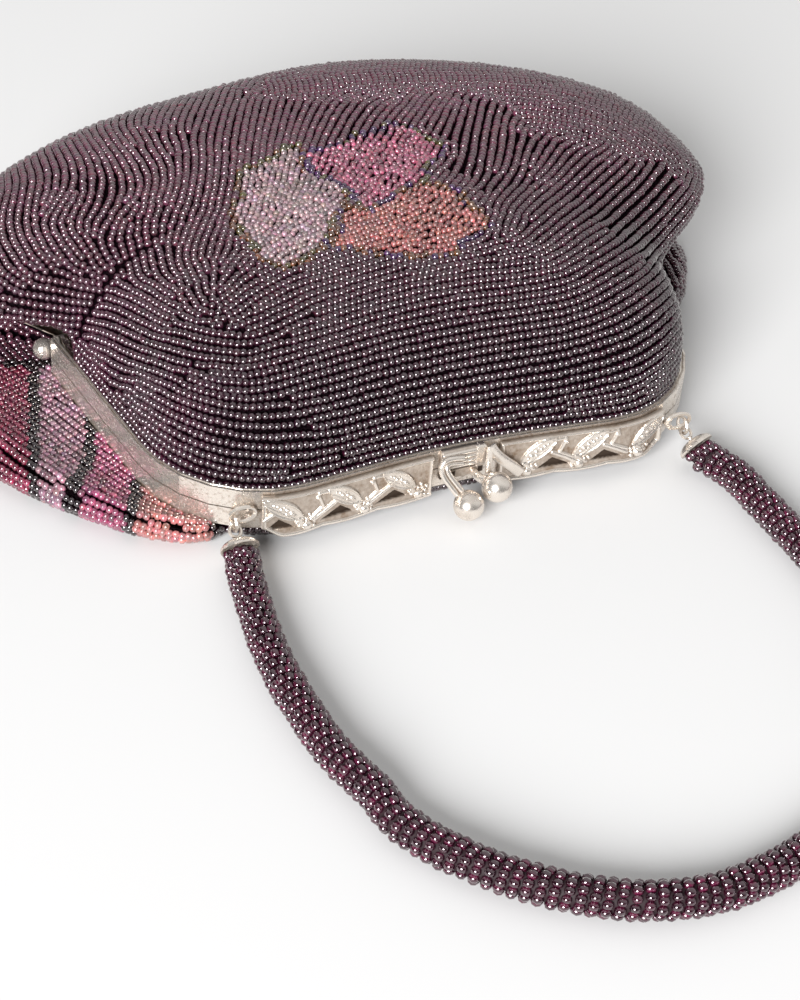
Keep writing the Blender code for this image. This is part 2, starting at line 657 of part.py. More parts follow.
def band(name, hand, carrier):
    """One openwork band: scalloped plate, cut windows, leaves, wavy stem and berries, bent onto the bar."""
    length = BAND_END - BAND_START
    pitch = length / LEAF_COUNT
    inner, outer = RIM_WIDTH + CLEARANCE, RIM_WIDTH + CLEARANCE + BAND_SHEET
    share = np.linspace(0, 1, 8 * LEAF_COUNT + 1)
    bottom = BAND_BOTTOM_Z - SCALLOP * np.abs(np.sin(math.pi * LEAF_COUNT * share))
    bottom = bottom + BAND_END_RISE * ease((share - 1 + BAND_RISE_SHARE) / BAND_RISE_SHARE)
    s = BAND_START + length * share
    rings = np.stack([
        np.stack([s, np.full_like(s, n), z], axis=-1)
        for n, z in ((inner, np.full_like(s, BAND_TOP_Z)), (outer, np.full_like(s, BAND_TOP_Z)),
                     (outer, bottom), (inner, bottom))
    ], axis=1)
    plate = swept(rings)
    middles = [BAND_START + pitch * (k + 0.5) for k in range(LEAF_COUNT)]
    windows = []
    for middle in middles:
        near, far = middle - WINDOW_LENGTH / 2, middle + WINDOW_LENGTH / 2
        outline = [(near, WINDOW_Z), (far, WINDOW_Z), (far, WINDOW_Z + WINDOW_HEIGHT)]
        prism = np.array([[(a, n, b) for a, b in outline] for n in (inner - SHEET, outer + SHEET)])
        windows.append(swept(prism))
    plate = joined(plate, windows, "DIFFERENCE")
    leaves = [
        blob((m, outer, LEAF_Z), (LEAF_HALF_LENGTH, LEAF_RAISE, LEAF_HALF_HEIGHT), LEAF_TILT) for m in middles
    ]
    berries = [
        blob((BAND_START + pitch * k + 2 * BERRY_RADIUS * (1 - k / LEAF_COUNT) - BERRY_RADIUS, outer,
              BAND_BOTTOM_Z + BERRY_RADIUS), (BERRY_RADIUS,) * 3, 0.0, 1)
        for k in range(LEAF_COUNT)
    ]
    run = np.linspace(STEM_END_SHARE, 1 - STEM_END_SHARE, 8 * LEAF_COUNT)
    stem_z = STEM_Z + STEM_WAVE * np.sin(2 * math.pi * LEAF_COUNT * run)
    angles = np.linspace(0, 2 * np.pi, 6, endpoint=False)
    stem = np.stack([
        np.stack([BAND_START + length * run, np.full_like(run, outer + STEM_RADIUS * math.cos(a)),
                  stem_z + STEM_RADIUS * math.sin(a)], axis=-1)
        for a in angles
    ], axis=1)
    mesh = joined(plate, leaves + [swept(stem)] + berries)
    work = bmesh.new()
    work.from_mesh(mesh)
    bmesh.ops.triangulate(work, faces=work.faces)
    for vert in work.verts:
        x, y = rim(BAND_CENTRE + hand * vert.co.x, vert.co.y)
        vert.co.x = float(x)
        vert.co.y = float(y)
    if hand > 0:
        bmesh.ops.reverse_faces(work, faces=work.faces)
    work.to_mesh(mesh)
    work.free()
    return smooth(add(name, mesh, METAL, carrier), 50.0)


def bar_y(x, n):
    """Y of the frame's bar at an x, a distance n outward."""
    return float(rim(x, n)[1])


def clasp_plate(carrier):
    """The ribbed plate in the middle of the front bar."""
    count = 4 * RIB_COUNT
    x = np.linspace(PLATE_LEFT, PLATE_RIGHT, count + 1)
    share = np.linspace(0, 1, count + 1)
    face = RIM_WIDTH + CLEARANCE + PLATE_SHEET + RIB_HEIGHT * np.sin(math.pi * RIB_COUNT * share) ** 2
    outside = [(a, bar_y(a, n)) for a, n in zip(x, face)]
    inside = [(a, bar_y(a, RIM_WIDTH + CLEARANCE)) for a in x[::-1]]
    ring = [(a, b) for a, b in outside + inside]
    rings = np.array([[(a, b, z) for a, b in ring] for z in (PLATE_LOW_Z, PLATE_HIGH_Z)])
    return smooth(add("clasp_plate", swept(rings), METAL, carrier), 50.0)


def strap(route, width, thickness, side_axis):
    """A flat strap along a route of points, bevelled, its width along one axis."""
    route = np.array(route, float)
    tangent = np.gradient(route, axis=0)
    tangent /= np.linalg.norm(tangent, axis=1, keepdims=True)
    side_axis = np.array(side_axis, float)
    across = side_axis - (tangent @ side_axis)[:, None] * tangent
    across /= np.linalg.norm(across, axis=1, keepdims=True)
    up = np.cross(tangent, across)
    flat = ARM_BEVEL_SHARE
    section = [(-1, 0), (-flat, 1), (flat, 1), (1, 0), (flat, -1), (-flat, -1)]
    rings = np.stack([
        route + across * (a * width / 2) + up * (b * thickness / 2) for a, b in section
    ], axis=1)
    return swept(rings)


def bend(points, steps):
    """A quadratic curve from the first point to the last, drawn to the middle one."""
    a, b, c = (np.array(p, float) for p in points)
    t = np.linspace(0, 1, steps)[:, None]
    return (1 - t) ** 2 * a + 2 * t * (1 - t) * b + t ** 2 * c


def clasp(front_half):
    """The two arms and balls of the kiss lock, which cross when the frame snaps shut."""
    plate_face = RIM_WIDTH + CLEARANCE + PLATE_SHEET
    arm_z = (PLATE_LOW_Z + PLATE_HIGH_Z) / 2
    seat = RIM_WIDTH + CLEARANCE
    start = (PLATE_LEFT - CLEARANCE - ARM_WIDTH / 2, bar_y(PLATE_LEFT, seat + ARM_SHEET / 2), arm_z)
    ball = np.array((FRONT_BALL_X, bar_y(FRONT_BALL_X, FRONT_BALL_REACH), FRONT_BALL_Z))
    elbow = (FRONT_ARM_X, ball[1] + FRONT_BALL_RADIUS / 2, arm_z)
    route = bend((start, elbow, ball), ARM_ROUTE_STEPS)
    gap = FRONT_BALL_RADIUS + CLEARANCE
    route = route[np.linalg.norm(route - ball, axis=1) > gap]
    arm = strap(route, ARM_WIDTH, ARM_SHEET, (1, 0, 0))
    smooth(add("front_clasp_arm", arm, METAL, front_half), 40.0)
    mesh = turned(ball_profile(FRONT_BALL_RADIUS), ball, (0, 0, 1), BALL_SEGMENTS)
    smooth(add("front_clasp_ball", mesh, METAL, front_half))

    ball = np.array((BACK_BALL_X, bar_y(BACK_BALL_X, BACK_BALL_REACH), BACK_BALL_Z))
    low_z = PARTING_Z - HALF_DEPTH / 2
    start = (BACK_ARM_X, bar_y(BACK_ARM_X, RIM_WIDTH + CLEARANCE), low_z)
    elbow = (BACK_ARM_X, bar_y(BACK_ARM_X, plate_face + ARM_WIDTH), low_z)
    route = bend((start, elbow, ball), ARM_ROUTE_STEPS)
    route = route[np.linalg.norm(route - ball, axis=1) > BACK_BALL_RADIUS + CLEARANCE]
    smooth(add("back_clasp_arm", strap(route, ARM_WIDTH, ARM_SHEET, (1, 0, 0)), METAL), 40.0)
    mesh = turned(ball_profile(BACK_BALL_RADIUS), ball, (0, 0, 1), BALL_SEGMENTS)
    smooth(add("back_clasp_ball", mesh, METAL))


def link(centre, first, second, half_first, half_second, wire, segments=RING_SEGMENTS):
    """A closed oval of wire in the plane of two directions."""
    first, second = np.array(first, float), np.array(second, float)
    normal = np.cross(first, second)
    t = np.linspace(0, 2 * np.pi, segments, endpoint=False)[:, None]
    middle = np.array(centre) + half_first * np.cos(t) * first + half_second * np.sin(t) * second
    tangent = -half_first * np.sin(t) * first + half_second * np.cos(t) * second
    tangent /= np.linalg.norm(tangent, axis=1, keepdims=True)
    outward = np.cross(tangent, normal)
    rings = np.stack([
        middle + wire * (math.cos(a) * outward + math.sin(a) * normal)
        for a in np.linspace(0, 2 * np.pi, WIRE_SIDES, endpoint=False)
    ], axis=1)
    return swept(rings, closed=True)


def eyelet(name, x):
    """An oval eyelet with the stud that carries it on the back half."""
    centre = (x, EYELET_Y, EYELET_Z)
    oval = link(centre, (1, 0, 0), (0, 0, 1), EYELET_HALF_WIDTH, EYELET_HALF_HEIGHT, EYELET_WIRE)
    stud_x = x - math.copysign(RING_OUTWARD, x)
    wall_y = float(outline_y(stud_x, RIM_WIDTH + CLEARANCE))
    stud = turned(
        [(0, 0), (EYELET_STUD, 0), (EYELET_STUD, wall_y - EYELET_Y), (0, wall_y - EYELET_Y)],
        (stud_x, EYELET_Y, RING_AXIS_Z), (0, 1, 0), BALL_SEGMENTS // 2)
    return smooth(add(name, joined(oval, [stud]), METAL), 50.0)


def outline_y(x, n):
    """Y of the frame's outline, a distance n outward, where it crosses an x."""
    s = np.linspace(0, STRAIGHT + CORNER, 40 * CORNER_STEPS)
    line_x, line_y = rim(s, n)
    return np.interp(abs(x), line_x, line_y)


def rope_end(hand):
    """Direction and key places of one end of the handle: eye, cap neck and cap mouth."""
    direction = np.array(LEFT_END_DIRECTION if hand < 0 else RIGHT_END_DIRECTION)
    direction = direction / np.linalg.norm(direction)
    eyelet_x = EYELET_LEFT_X if hand < 0 else EYELET_RIGHT_X
    ring_x = eyelet_x + hand * RING_OUTWARD
    tip = np.array((ring_x, HANDLE_AXIS_Y, HANDLE_AXIS_Z))
    eye = tip + direction * CAP_EYE_RADIUS
    neck = eye + direction * (CAP_EYE_RADIUS + CAP_EYE_WIRE + CLEARANCE)
    return direction, ring_x, eye, neck


def handle_end(hand, rings, handle):
    """Jump ring, cap eye and bell cap at one end of the rope."""
    word = "left" if hand < 0 else "right"
    direction, ring_x, eye, neck = rope_end(hand)
    ring = link((ring_x, RING_Y, RING_Z), (0, 1, 0), (0, 0, 1), RING_RADIUS, RING_RADIUS, RING_WIRE)
    smooth(add("jump_ring_" + word, ring, METAL, rings), 80.0)

    across = np.array((1.0, 0, 0)) - direction[0] * direction
    across /= np.linalg.norm(across)
    loop = link(eye, across, direction, CAP_EYE_RADIUS, CAP_EYE_RADIUS, CAP_EYE_WIRE, RING_SEGMENTS // 2 + 2)
    stem_start = CAP_EYE_RADIUS
    stem_end = CAP_EYE_RADIUS + CAP_EYE_WIRE + 2 * CLEARANCE + CAP_SHEET
    stem_radius = STEM_HOLE_RADIUS - CLEARANCE
    head_radius = CAP_NECK_RADIUS * STEM_HEAD_SHARE
    stem = turned(
        [(0, stem_start), (stem_radius, stem_start), (stem_radius, stem_end), (head_radius, stem_end),
         (head_radius, stem_end + CAP_SHEET), (0, stem_end + CAP_SHEET)],
        eye, direction, WIRE_SIDES + 4)
    smooth(add("cap_eye_" + word, joined(loop, [stem]), METAL, handle), 50.0)

    flare = np.linspace(0, 1, 7)
    flared = np.sin(flare * math.pi / 2) ** CAP_FLARE_POWER
    outer_r = CAP_NECK_RADIUS + (CAP_MOUTH_RADIUS - CAP_NECK_RADIUS) * flared
    outer_h = CAP_LENGTH * flare ** CAP_HEIGHT_POWER
    inner_h = outer_h + CAP_SHEET
    inner_r = np.maximum(outer_r - CAP_SHEET * flare, STEM_HOLE_RADIUS)
    keep = inner_h < CAP_LENGTH
    profile = [(STEM_HOLE_RADIUS, 0)] + list(zip(outer_r, outer_h))
    profile += list(zip(inner_r[keep][::-1], inner_h[keep][::-1])) + [(STEM_HOLE_RADIUS, CAP_SHEET)]
    cap = turned(profile, neck, direction, BALL_SEGMENTS, closed=True)
    smooth(add("bell_cap_" + word, cap, METAL, handle), 50.0)
    return neck + direction * (CAP_LENGTH + CLEARANCE), direction


def smooth_route(points, spacing):
    """Evenly spaced points on a smooth curve (centripetal Catmull-Rom) through the given points."""
    points = np.array(points, float)
    ends = np.vstack([2 * points[0] - points[1], points, 2 * points[-1] - points[-2]])
    pieces = []
    for a, b, c, d in zip(ends[:-3], ends[1:-2], ends[2:-1], ends[3:]):
        knots = np.cumsum([0] + [np.linalg.norm(q - p) ** 0.5 for p, q in ((a, b), (b, c), (c, d))])
        t = np.linspace(knots[1], knots[2], 12, endpoint=False)[:, None]
        ab = (knots[1] - t) / (knots[1] - knots[0]) * a + (t - knots[0]) / (knots[1] - knots[0]) * b
        bc = (knots[2] - t) / (knots[2] - knots[1]) * b + (t - knots[1]) / (knots[2] - knots[1]) * c
        cd = (knots[3] - t) / (knots[3] - knots[2]) * c + (t - knots[2]) / (knots[3] - knots[2]) * d
        abc = (knots[2] - t) / (knots[2] - knots[0]) * ab + (t - knots[0]) / (knots[2] - knots[0]) * bc
        bcd = (knots[3] - t) / (knots[3] - knots[1]) * bc + (t - knots[1]) / (knots[3] - knots[1]) * cd
        share = (t - knots[1]) / (knots[2] - knots[1])
        pieces.append((1 - share) * abc + share * bcd)
    fine = np.vstack(pieces + [points[-1:]])
    run = np.concatenate([[0], np.cumsum(np.linalg.norm(np.diff(fine, axis=0), axis=1))])
    even = np.linspace(0, run[-1], max(int(run[-1] / spacing), 3) + 1)
    return np.stack([np.interp(even, run, fine[:, k]) for k in range(3)], axis=-1)


def rope(start, start_direction, end, end_direction, handle):
    """The beaded rope from cap to cap, lying on the table."""
    first = start + start_direction * ROPE_LEAD
    last = end + end_direction * ROPE_LEAD
    route = [first] + [(x, y, ROPE_FLOOR_Z) for x, y in ROPE_ROUTE] + [last]
    points = np.vstack([start, smooth_route(route, ROPE_POINT_SPACING), end])
    curve = bpy.data.curves.new("handle_rope", "CURVE")
    curve.dimensions = "3D"
    curve.bevel_depth = ROPE_RADIUS
    curve.bevel_resolution = 3
    curve.use_fill_caps = True
    spline = curve.splines.new("POLY")
    spline.points.add(len(points) - 1)
    for point, place in zip(spline.points, points):
        point.co = (*place, 1)
    item = bpy.data.objects.new("handle_rope", curve)
    bpy.context.collection.objects.link(item)
    curve.materials.append(surface(HANDLE_BEADS))
    item.parent = handle
    item.location = -handle.location


def build():
    """The whole purse, at rest."""
    clear_scene()
    front_half = pivot("front_half", (0, HINGE_Y, PARTING_Z))
    rings = pivot("handle_rings", (0, RING_AXIS_Y, RING_AXIS_Z))
    handle = pivot("handle", (0, HANDLE_AXIS_Y, HANDLE_AXIS_Z))
    frame_half("front_frame", 1, front_half)
    frame_half("back_frame", -1, None)
    binding("front_binding", 1, front_half)
    binding("back_binding", -1, None)
    rivet("hinge_rivet_left", -1)
    rivet("hinge_rivet_right", 1)
    cloth_pieces(front_half)
    band("filigree_left", -1, front_half)
    band("filigree_right", 1, front_half)
    clasp_plate(front_half)
    clasp(front_half)
    eyelet("eyelet_left", EYELET_LEFT_X)
    eyelet("eyelet_right", EYELET_RIGHT_X)
    start, start_direction = handle_end(-1, rings, handle)
    end, end_direction = handle_end(1, rings, handle)
    rope(start, start_direction, end, end_direction, handle)
    bpy.context.view_layer.update()


build()
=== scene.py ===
import math
from itertools import product

import bpy
import numpy as np
from mathutils import Matrix, Vector
from mathutils.bvhtree import BVHTree
from mathutils.kdtree import KDTree


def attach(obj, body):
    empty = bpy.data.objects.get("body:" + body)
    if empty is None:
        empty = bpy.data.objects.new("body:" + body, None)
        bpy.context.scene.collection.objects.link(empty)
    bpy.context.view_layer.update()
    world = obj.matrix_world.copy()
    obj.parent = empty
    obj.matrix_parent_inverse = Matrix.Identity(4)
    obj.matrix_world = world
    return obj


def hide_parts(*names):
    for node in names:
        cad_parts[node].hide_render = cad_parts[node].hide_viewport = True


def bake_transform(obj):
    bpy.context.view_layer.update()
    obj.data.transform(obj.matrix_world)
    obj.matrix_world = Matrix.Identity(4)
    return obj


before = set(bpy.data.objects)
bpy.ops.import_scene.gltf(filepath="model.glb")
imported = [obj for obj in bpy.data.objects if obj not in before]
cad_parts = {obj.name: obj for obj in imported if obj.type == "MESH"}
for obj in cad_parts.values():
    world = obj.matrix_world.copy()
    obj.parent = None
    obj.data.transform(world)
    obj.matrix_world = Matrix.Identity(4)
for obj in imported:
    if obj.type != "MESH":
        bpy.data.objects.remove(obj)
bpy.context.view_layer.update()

CHANCE = np.random.default_rng(11)

# The frame and the pouch, as the solids have them (metres)
BAR_HALF = 0.0644
CORNER_RADIUS = 0.0298
ARM_SPLAY = math.radians(8.0)
ARM_DEPTH = 0.0740
BAR_BOW = 0.0033
BOW_REACH_SHARE = 0.85
BAR_Y = -0.0780
PARTING_Z = 0.0109
CLEARANCE = 0.0003
HALF_DEPTH = 0.0051
CROWN_Z = 0.0500
CROWN_EXPONENT_LEFT = 2.43
CROWN_EXPONENT_RIGHT = 3.13
SHOULDER_REACH_LEFT = math.radians(14.0)
SHOULDER_REACH_RIGHT = math.radians(34.0)
SHOULDER_START = math.radians(3.0)
SHOULDER_RUN = math.radians(15.0)
SEAM_HALF_LEFT = 0.1006
SEAM_HALF_RIGHT = 0.1030
SEAM_DEPTH = 0.0651
SEAM_EXPONENT_LEFT = 2.10
SEAM_EXPONENT_RIGHT = 2.05
SEAM_Z = 0.0190
SEAM_START_RADIUS = 0.0700
SEAM_RUN = math.radians(14.0)
HINGE_BYPASS = 0.0049
BYPASS_REACH = 0.0085
BYPASS_RUN = 0.0040
HINGE_HOLD = math.radians(3.6)
BULGE_LEFT = 0.1080
BULGE_RIGHT = 0.0985
BULGE_REACH_LEFT = math.radians(52.0)
BULGE_REACH_RIGHT = math.radians(40.0)
BULGE_LIFT = 0.0065
BELLY_Z_FRAME = 0.0046
BELLY_Z_FAR = 0.0100
FLOOR_INSET_FRAME = 0.0065
FLOOR_INSET_FAR = 0.0170
CLOTH_EDGE = 0.0027
LIP_PASS = 0.00305
CLOTH_EDGE_GAP = 0.00035
TURN = math.pi / 2 - ARM_SPLAY
CORNER_TANGENT = CORNER_RADIUS * math.tan(TURN / 2)
STRAIGHT = BAR_HALF - CORNER_TANGENT
CORNER = CORNER_RADIUS * TURN
HINGE_S = STRAIGHT + CORNER + ARM_DEPTH / math.cos(ARM_SPLAY) - CORNER_TANGENT

# Seed beads: width across a row, pitch along it and from row to row
BEAD_WIDTH = 0.00195
BEAD_PITCH = 0.00150
ROW_PITCH = 0.00190
BEAD_DEPTH = 0.0005
FINE_BEAD_SHARE = 0.80
GAP_SHARE = 0.78
# The gain of the painted glint at the ends of each pouch bead, where light through the glass would gather
BEAD_END_GLINT = (2.2, 1.9, 2.0)
# Laying rows: room that a new row and a next bead need (row pitches), how far off the panel counts as past it
START_ROOM, RUN_ROOM = 0.80, 0.68
OFF_PANEL, OFF_STEP, LONGEST_ROW = 0.0006, 0.00045, 400
# Evening rows: rounds, largest step, pace, and reaches in bead pitches and row pitches
EVENING_ROUNDS, EVENING_STEP, EVENING_PACE = 6, 0.0004, 0.8
LEVEL_REACH, OPEN_SIDE, TOGETHER_REACH = 0.8, 1.3, 4.4
SPREADING_ROUNDS, SPREADING_STEP, SPREADING_PACE = 10, 0.0003, 0.35
LOOSE_TURN, LOOSE_SHIFT = 0.35, 0.0002
# Chance in each bead: its size, turn and place, its tone and tint, and the share of dark specks in a leaf
SIZE_SPREAD, TURN_SPREAD, PLACE_SPREAD = 0.05, 0.09, 0.00007
TONE_SPREAD, TINT_SPREAD, SPECK_SHARE = 0.16, 0.06, 0.10
# The edge rows' insets where the frame holds the edge and along the free seam
FRONT_INSETS = ((0.0022, 0.00105), (0.0045, 0.0032))
BACK_INSETS = ((0.0022, 0.00105),)
# How deep the net and the lining lie under the panel's outer face, near sheet and far sheet
NET_DEPTHS, LINING_DEPTHS = (0.0009, 0.0012), (0.0015, 0.0020)
EDGE_TUCK = 0.2
POUCH_MIDDLE = (0, -0.005, 0.021)


# ---- camera ----

CAMERA_PLACE = (-0.2007, -0.4519, 0.3425)
CAMERA_AHEAD, CAMERA_RIGHT = (0.3462, 0.6970, -0.6280), (0.9166, -0.3941, 0.0680)
SENSOR_HEIGHT, LENS, NEAREST = 36.0, 84.94, 0.01


def camera():
    """The photograph's camera: a fitted place and three axes, with a long lens."""
    data = bpy.data.cameras.new("camera")
    item = bpy.data.objects.new("camera", data)
    bpy.context.collection.objects.link(item)
    ahead, right = Vector(CAMERA_AHEAD).normalized(), Vector(CAMERA_RIGHT).normalized()
    right = (right - ahead * right.dot(ahead)).normalized()
    turn = Matrix((right, right.cross(ahead), -ahead)).transposed()
    item.matrix_world = Matrix.Translation(CAMERA_PLACE) @ turn.to_4x4()
    data.sensor_fit = "VERTICAL"
    data.sensor_height, data.lens, data.clip_start = SENSOR_HEIGHT, LENS, NEAREST
    bpy.context.scene.camera = item


# ---- meshes ----

# Sides, stations and radii of a bead, seen close and seen from farther off
ROUND_BEAD = (8, (-0.96, -0.64, 0.0, 0.64, 0.96), (0.46, 0.86, 1.0, 0.86, 0.46))
PLAIN_BEAD = (7, (-0.94, -0.5, 0.5, 0.94), (0.5, 0.95, 0.95, 0.5))


def unit(vectors):
    """The vectors at length 1."""
    return vectors / np.linalg.norm(vectors, axis=-1, keepdims=True)


def at_ways(ways, run, points):
    """Places at some ways along a curve whose points lie at the ways in run."""
    return np.stack([np.interp(ways, run, points[:, k]) for k in range(3)], axis=-1)


def mesh_piece(name, points, faces, material, body, slot, *nodes):
    """One object at the origin from an array of points and arrays of faces, its material in the first slot, in
    place of the named nodes; the slot argument is not used. Cloth that crosses the hinge rides on no body of its
    own."""
    data = bpy.data.meshes.new(name)
    loops = np.concatenate([group.ravel() for group in faces]).astype(np.int32)
    sizes = np.concatenate([np.full(len(group), group.shape[1]) for group in faces])
    data.vertices.add(len(points))
    data.vertices.foreach_set("co", np.asarray(points, np.float32).ravel())
    data.loops.add(len(loops))
    data.loops.foreach_set("vertex_index", loops)
    data.polygons.add(len(sizes))
    data.polygons.foreach_set("loop_start", (np.cumsum(sizes) - sizes).astype(np.int32))
    data.polygons.foreach_set("use_smooth", np.full(len(sizes), True))
    data.update(calc_edges=True)
    data.validate()
    data.materials.append(material)
    item = bpy.data.objects.new(name, data)
    bpy.context.collection.objects.link(item)
    if body == "both halves":
        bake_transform(item)
    else:
        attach(item, body)
    if nodes:
        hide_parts(*nodes)
    return item


def colour_points(item, name, colours):
    """A colour for every point of a piece."""
    layer = item.data.attributes.new(name, "FLOAT_COLOR", "POINT")
    rgba = np.concatenate([colours, np.ones((len(colours), 1))], axis=1)
    layer.data.foreach_set("color", rgba.astype(np.float32).ravel())


def grid_faces(rows, columns, around=True):
    """Quads of a grid of points whose first direction closes on itself."""
    index = np.arange(rows * columns).reshape(rows, columns)
    here = index if around else index[:-1]
    ahead = np.roll(index, -1, axis=0) if around else index[1:]
    return np.stack([here[:, :-1], ahead[:, :-1], ahead[:, 1:], here[:, 1:]], axis=-1).reshape(-1, 4)


def repeated(template, faces, centres, frames):
    """Copies of one small closed shape: points = centre + frame x template, all copies at once."""
    points = centres[:, None, :] + np.einsum("nij,kj->nki", frames, template)
    shift = np.arange(len(centres))[:, None, None] * len(template)
    joined = [(g[None] + shift).reshape(-1, g.shape[1]) for g in faces]
    return points.reshape(-1, 3), joined


def barrel(sides, stations, radii):
    """A seed bead: a barrel round x with rounded shoulders and flat ends, half length 1 and radius 1."""
    angle = np.arange(sides) * 2 * math.pi / sides
    ring = np.stack([0 * angle, np.cos(angle), np.sin(angle)], axis=-1)
    points = np.concatenate([ring * r + (x, 0, 0) for x, r in zip(stations, radii)])
    index = np.arange(len(points)).reshape(len(stations), sides)
    ahead = np.roll(index, -1, axis=1)
    walls = np.stack([index[:-1], ahead[:-1], ahead[1:], index[1:]], axis=-1).reshape(-1, 4)
    ends = np.stack([index[0][::-1], index[-1]])
    return points, [walls, ends]


def painted_end_glints(colours, template, gain):
    """Colours for all points of all beads, with a painted glint: the colour is raised by a gain at the ends of each
    glass bead, where light through the glass would gather.
    """
    at_end = (np.abs(template[:, 0]) > 0.9)[None, :, None]
    return (colours[:, None, :] * np.where(at_end, np.array(gain), 1.0)).reshape(-1, 3)


# ---- shapes of the frame and the pouch ----

def rim(s, n):
    """Plan curve of the frame: a bowed bar, two round corners and splayed arms, n outward of its middle."""
    s, n = np.broadcast_arrays(np.asarray(s, float), np.asarray(n, float))
    run = np.abs(s)
    angle = np.clip((run - STRAIGHT) / CORNER_RADIUS, 0, TURN)
    beyond = np.maximum(run - STRAIGHT - CORNER, 0)
    x = np.minimum(run, STRAIGHT) + (CORNER_RADIUS + n) * np.sin(angle) + beyond * math.cos(TURN)
    y = CORNER_RADIUS - (CORNER_RADIUS + n) * np.cos(angle) + beyond * math.sin(TURN)
    bow = np.clip(x / (BOW_REACH_SHARE * BAR_HALF), -1, 1)
    y = y + BAR_BOW * 0.5 * (1 + np.cos(np.pi * bow))
    return np.copysign(x, s), y + BAR_Y


def ease(t):
    """A smooth step from 0 to 1."""
    t = np.clip(t, 0, 1)
    return t * t * (3 - 2 * t)


def seam_radius(angle):
    """Radius of the side and bottom seam at an angle from +X: two quarter superellipses."""
    c, s = np.cos(angle), np.abs(np.sin(angle))
    half = np.where(c < 0, SEAM_HALF_LEFT, SEAM_HALF_RIGHT)
    power = np.where(c < 0, SEAM_EXPONENT_LEFT, SEAM_EXPONENT_RIGHT)
    return ((np.abs(c) / half) ** power + (s / SEAM_DEPTH) ** power) ** (-1 / power)


def pouch_edge(side):
    """A panel's edge once round: angle, radius, height and how far it is on to the free seam."""
    leave = HINGE_S - BYPASS_REACH - 2 * BYPASS_RUN
    half = np.linspace(0, HINGE_S, 120)
    s = np.concatenate([-half[:0:-1], half])
    lifted = np.clip((np.abs(s) - leave) / BYPASS_RUN, 0, 1)
    past = np.clip((np.abs(s) - leave - BYPASS_RUN) / BYPASS_RUN, 0, 1)
    x, y = rim(s, -(CLOTH_EDGE_GAP + (HINGE_BYPASS - CLOTH_EDGE_GAP) * past))
    held_angle = np.unwrap(np.arctan2(y, x))
    first, last = held_angle[-1] + HINGE_HOLD, held_angle[0] + 2 * math.pi - HINGE_HOLD
    free_angle = np.linspace(first, last, 110)
    out = ease(np.minimum(free_angle - first, last - free_angle) / SEAM_RUN)
    free_radius = SEAM_START_RADIUS + (seam_radius(free_angle) - SEAM_START_RADIUS) * out
    angle = np.concatenate([held_angle, free_angle])
    radius = np.concatenate([np.hypot(x, y), free_radius])
    free = np.concatenate([np.zeros(len(s)), out])
    held = np.concatenate([CLOTH_EDGE + (LIP_PASS - CLOTH_EDGE) * lifted, np.full(len(out), LIP_PASS)])
    held_z = PARTING_Z + side * held
    return angle, radius, held_z + (SEAM_Z + side * CLEARANCE / 2 - held_z) * free, free


def swelling(angle, reach_left, reach_right, power_left, power_right):
    """How far the pouch swells out over an arm: 1 from the hinge line on, falling to 0 along the frame."""
    right = np.cos(angle) > 0
    past = np.where(np.sin(angle) < 0, np.abs(np.arcsin(np.clip(np.sin(angle), -1, 0))), 0)
    reach = np.where(right, reach_right, reach_left)
    power = np.where(right, power_right, power_left)
    return np.cos(np.clip(past / reach, 0, 1) * math.pi / 2) ** power


def front_points(bulging=1, rings=48):
    """The crowned front panel: a superellipse of height over each ray from its edge to the middle."""
    angle, radius, edge_z, free = pouch_edge(1)
    weight = ease(np.cos(angle) + 0.5)
    exponent = (CROWN_EXPONENT_LEFT + (CROWN_EXPONENT_RIGHT - CROWN_EXPONENT_LEFT) * weight)[:, None]
    turn = np.linspace(0, math.pi / 2, rings + 1)[None, :]
    reach = np.cos(turn) ** (2 / exponent)
    reach[:, -1] = 0
    rise = np.sin(turn) ** (2 / exponent)
    swell = swelling(angle, SHOULDER_REACH_LEFT, SHOULDER_REACH_RIGHT, 0.9, 0.9)
    over = (np.maximum(seam_radius(angle) - radius, 0) * swell * bulging)[:, None]
    r = radius[:, None] * reach + over * reach * ease((turn - SHOULDER_START) / SHOULDER_RUN)
    z = edge_z[:, None] + (CROWN_Z - edge_z[:, None]) * rise
    return np.stack([r * np.cos(angle)[:, None], r * np.sin(angle)[:, None], z], axis=-1)


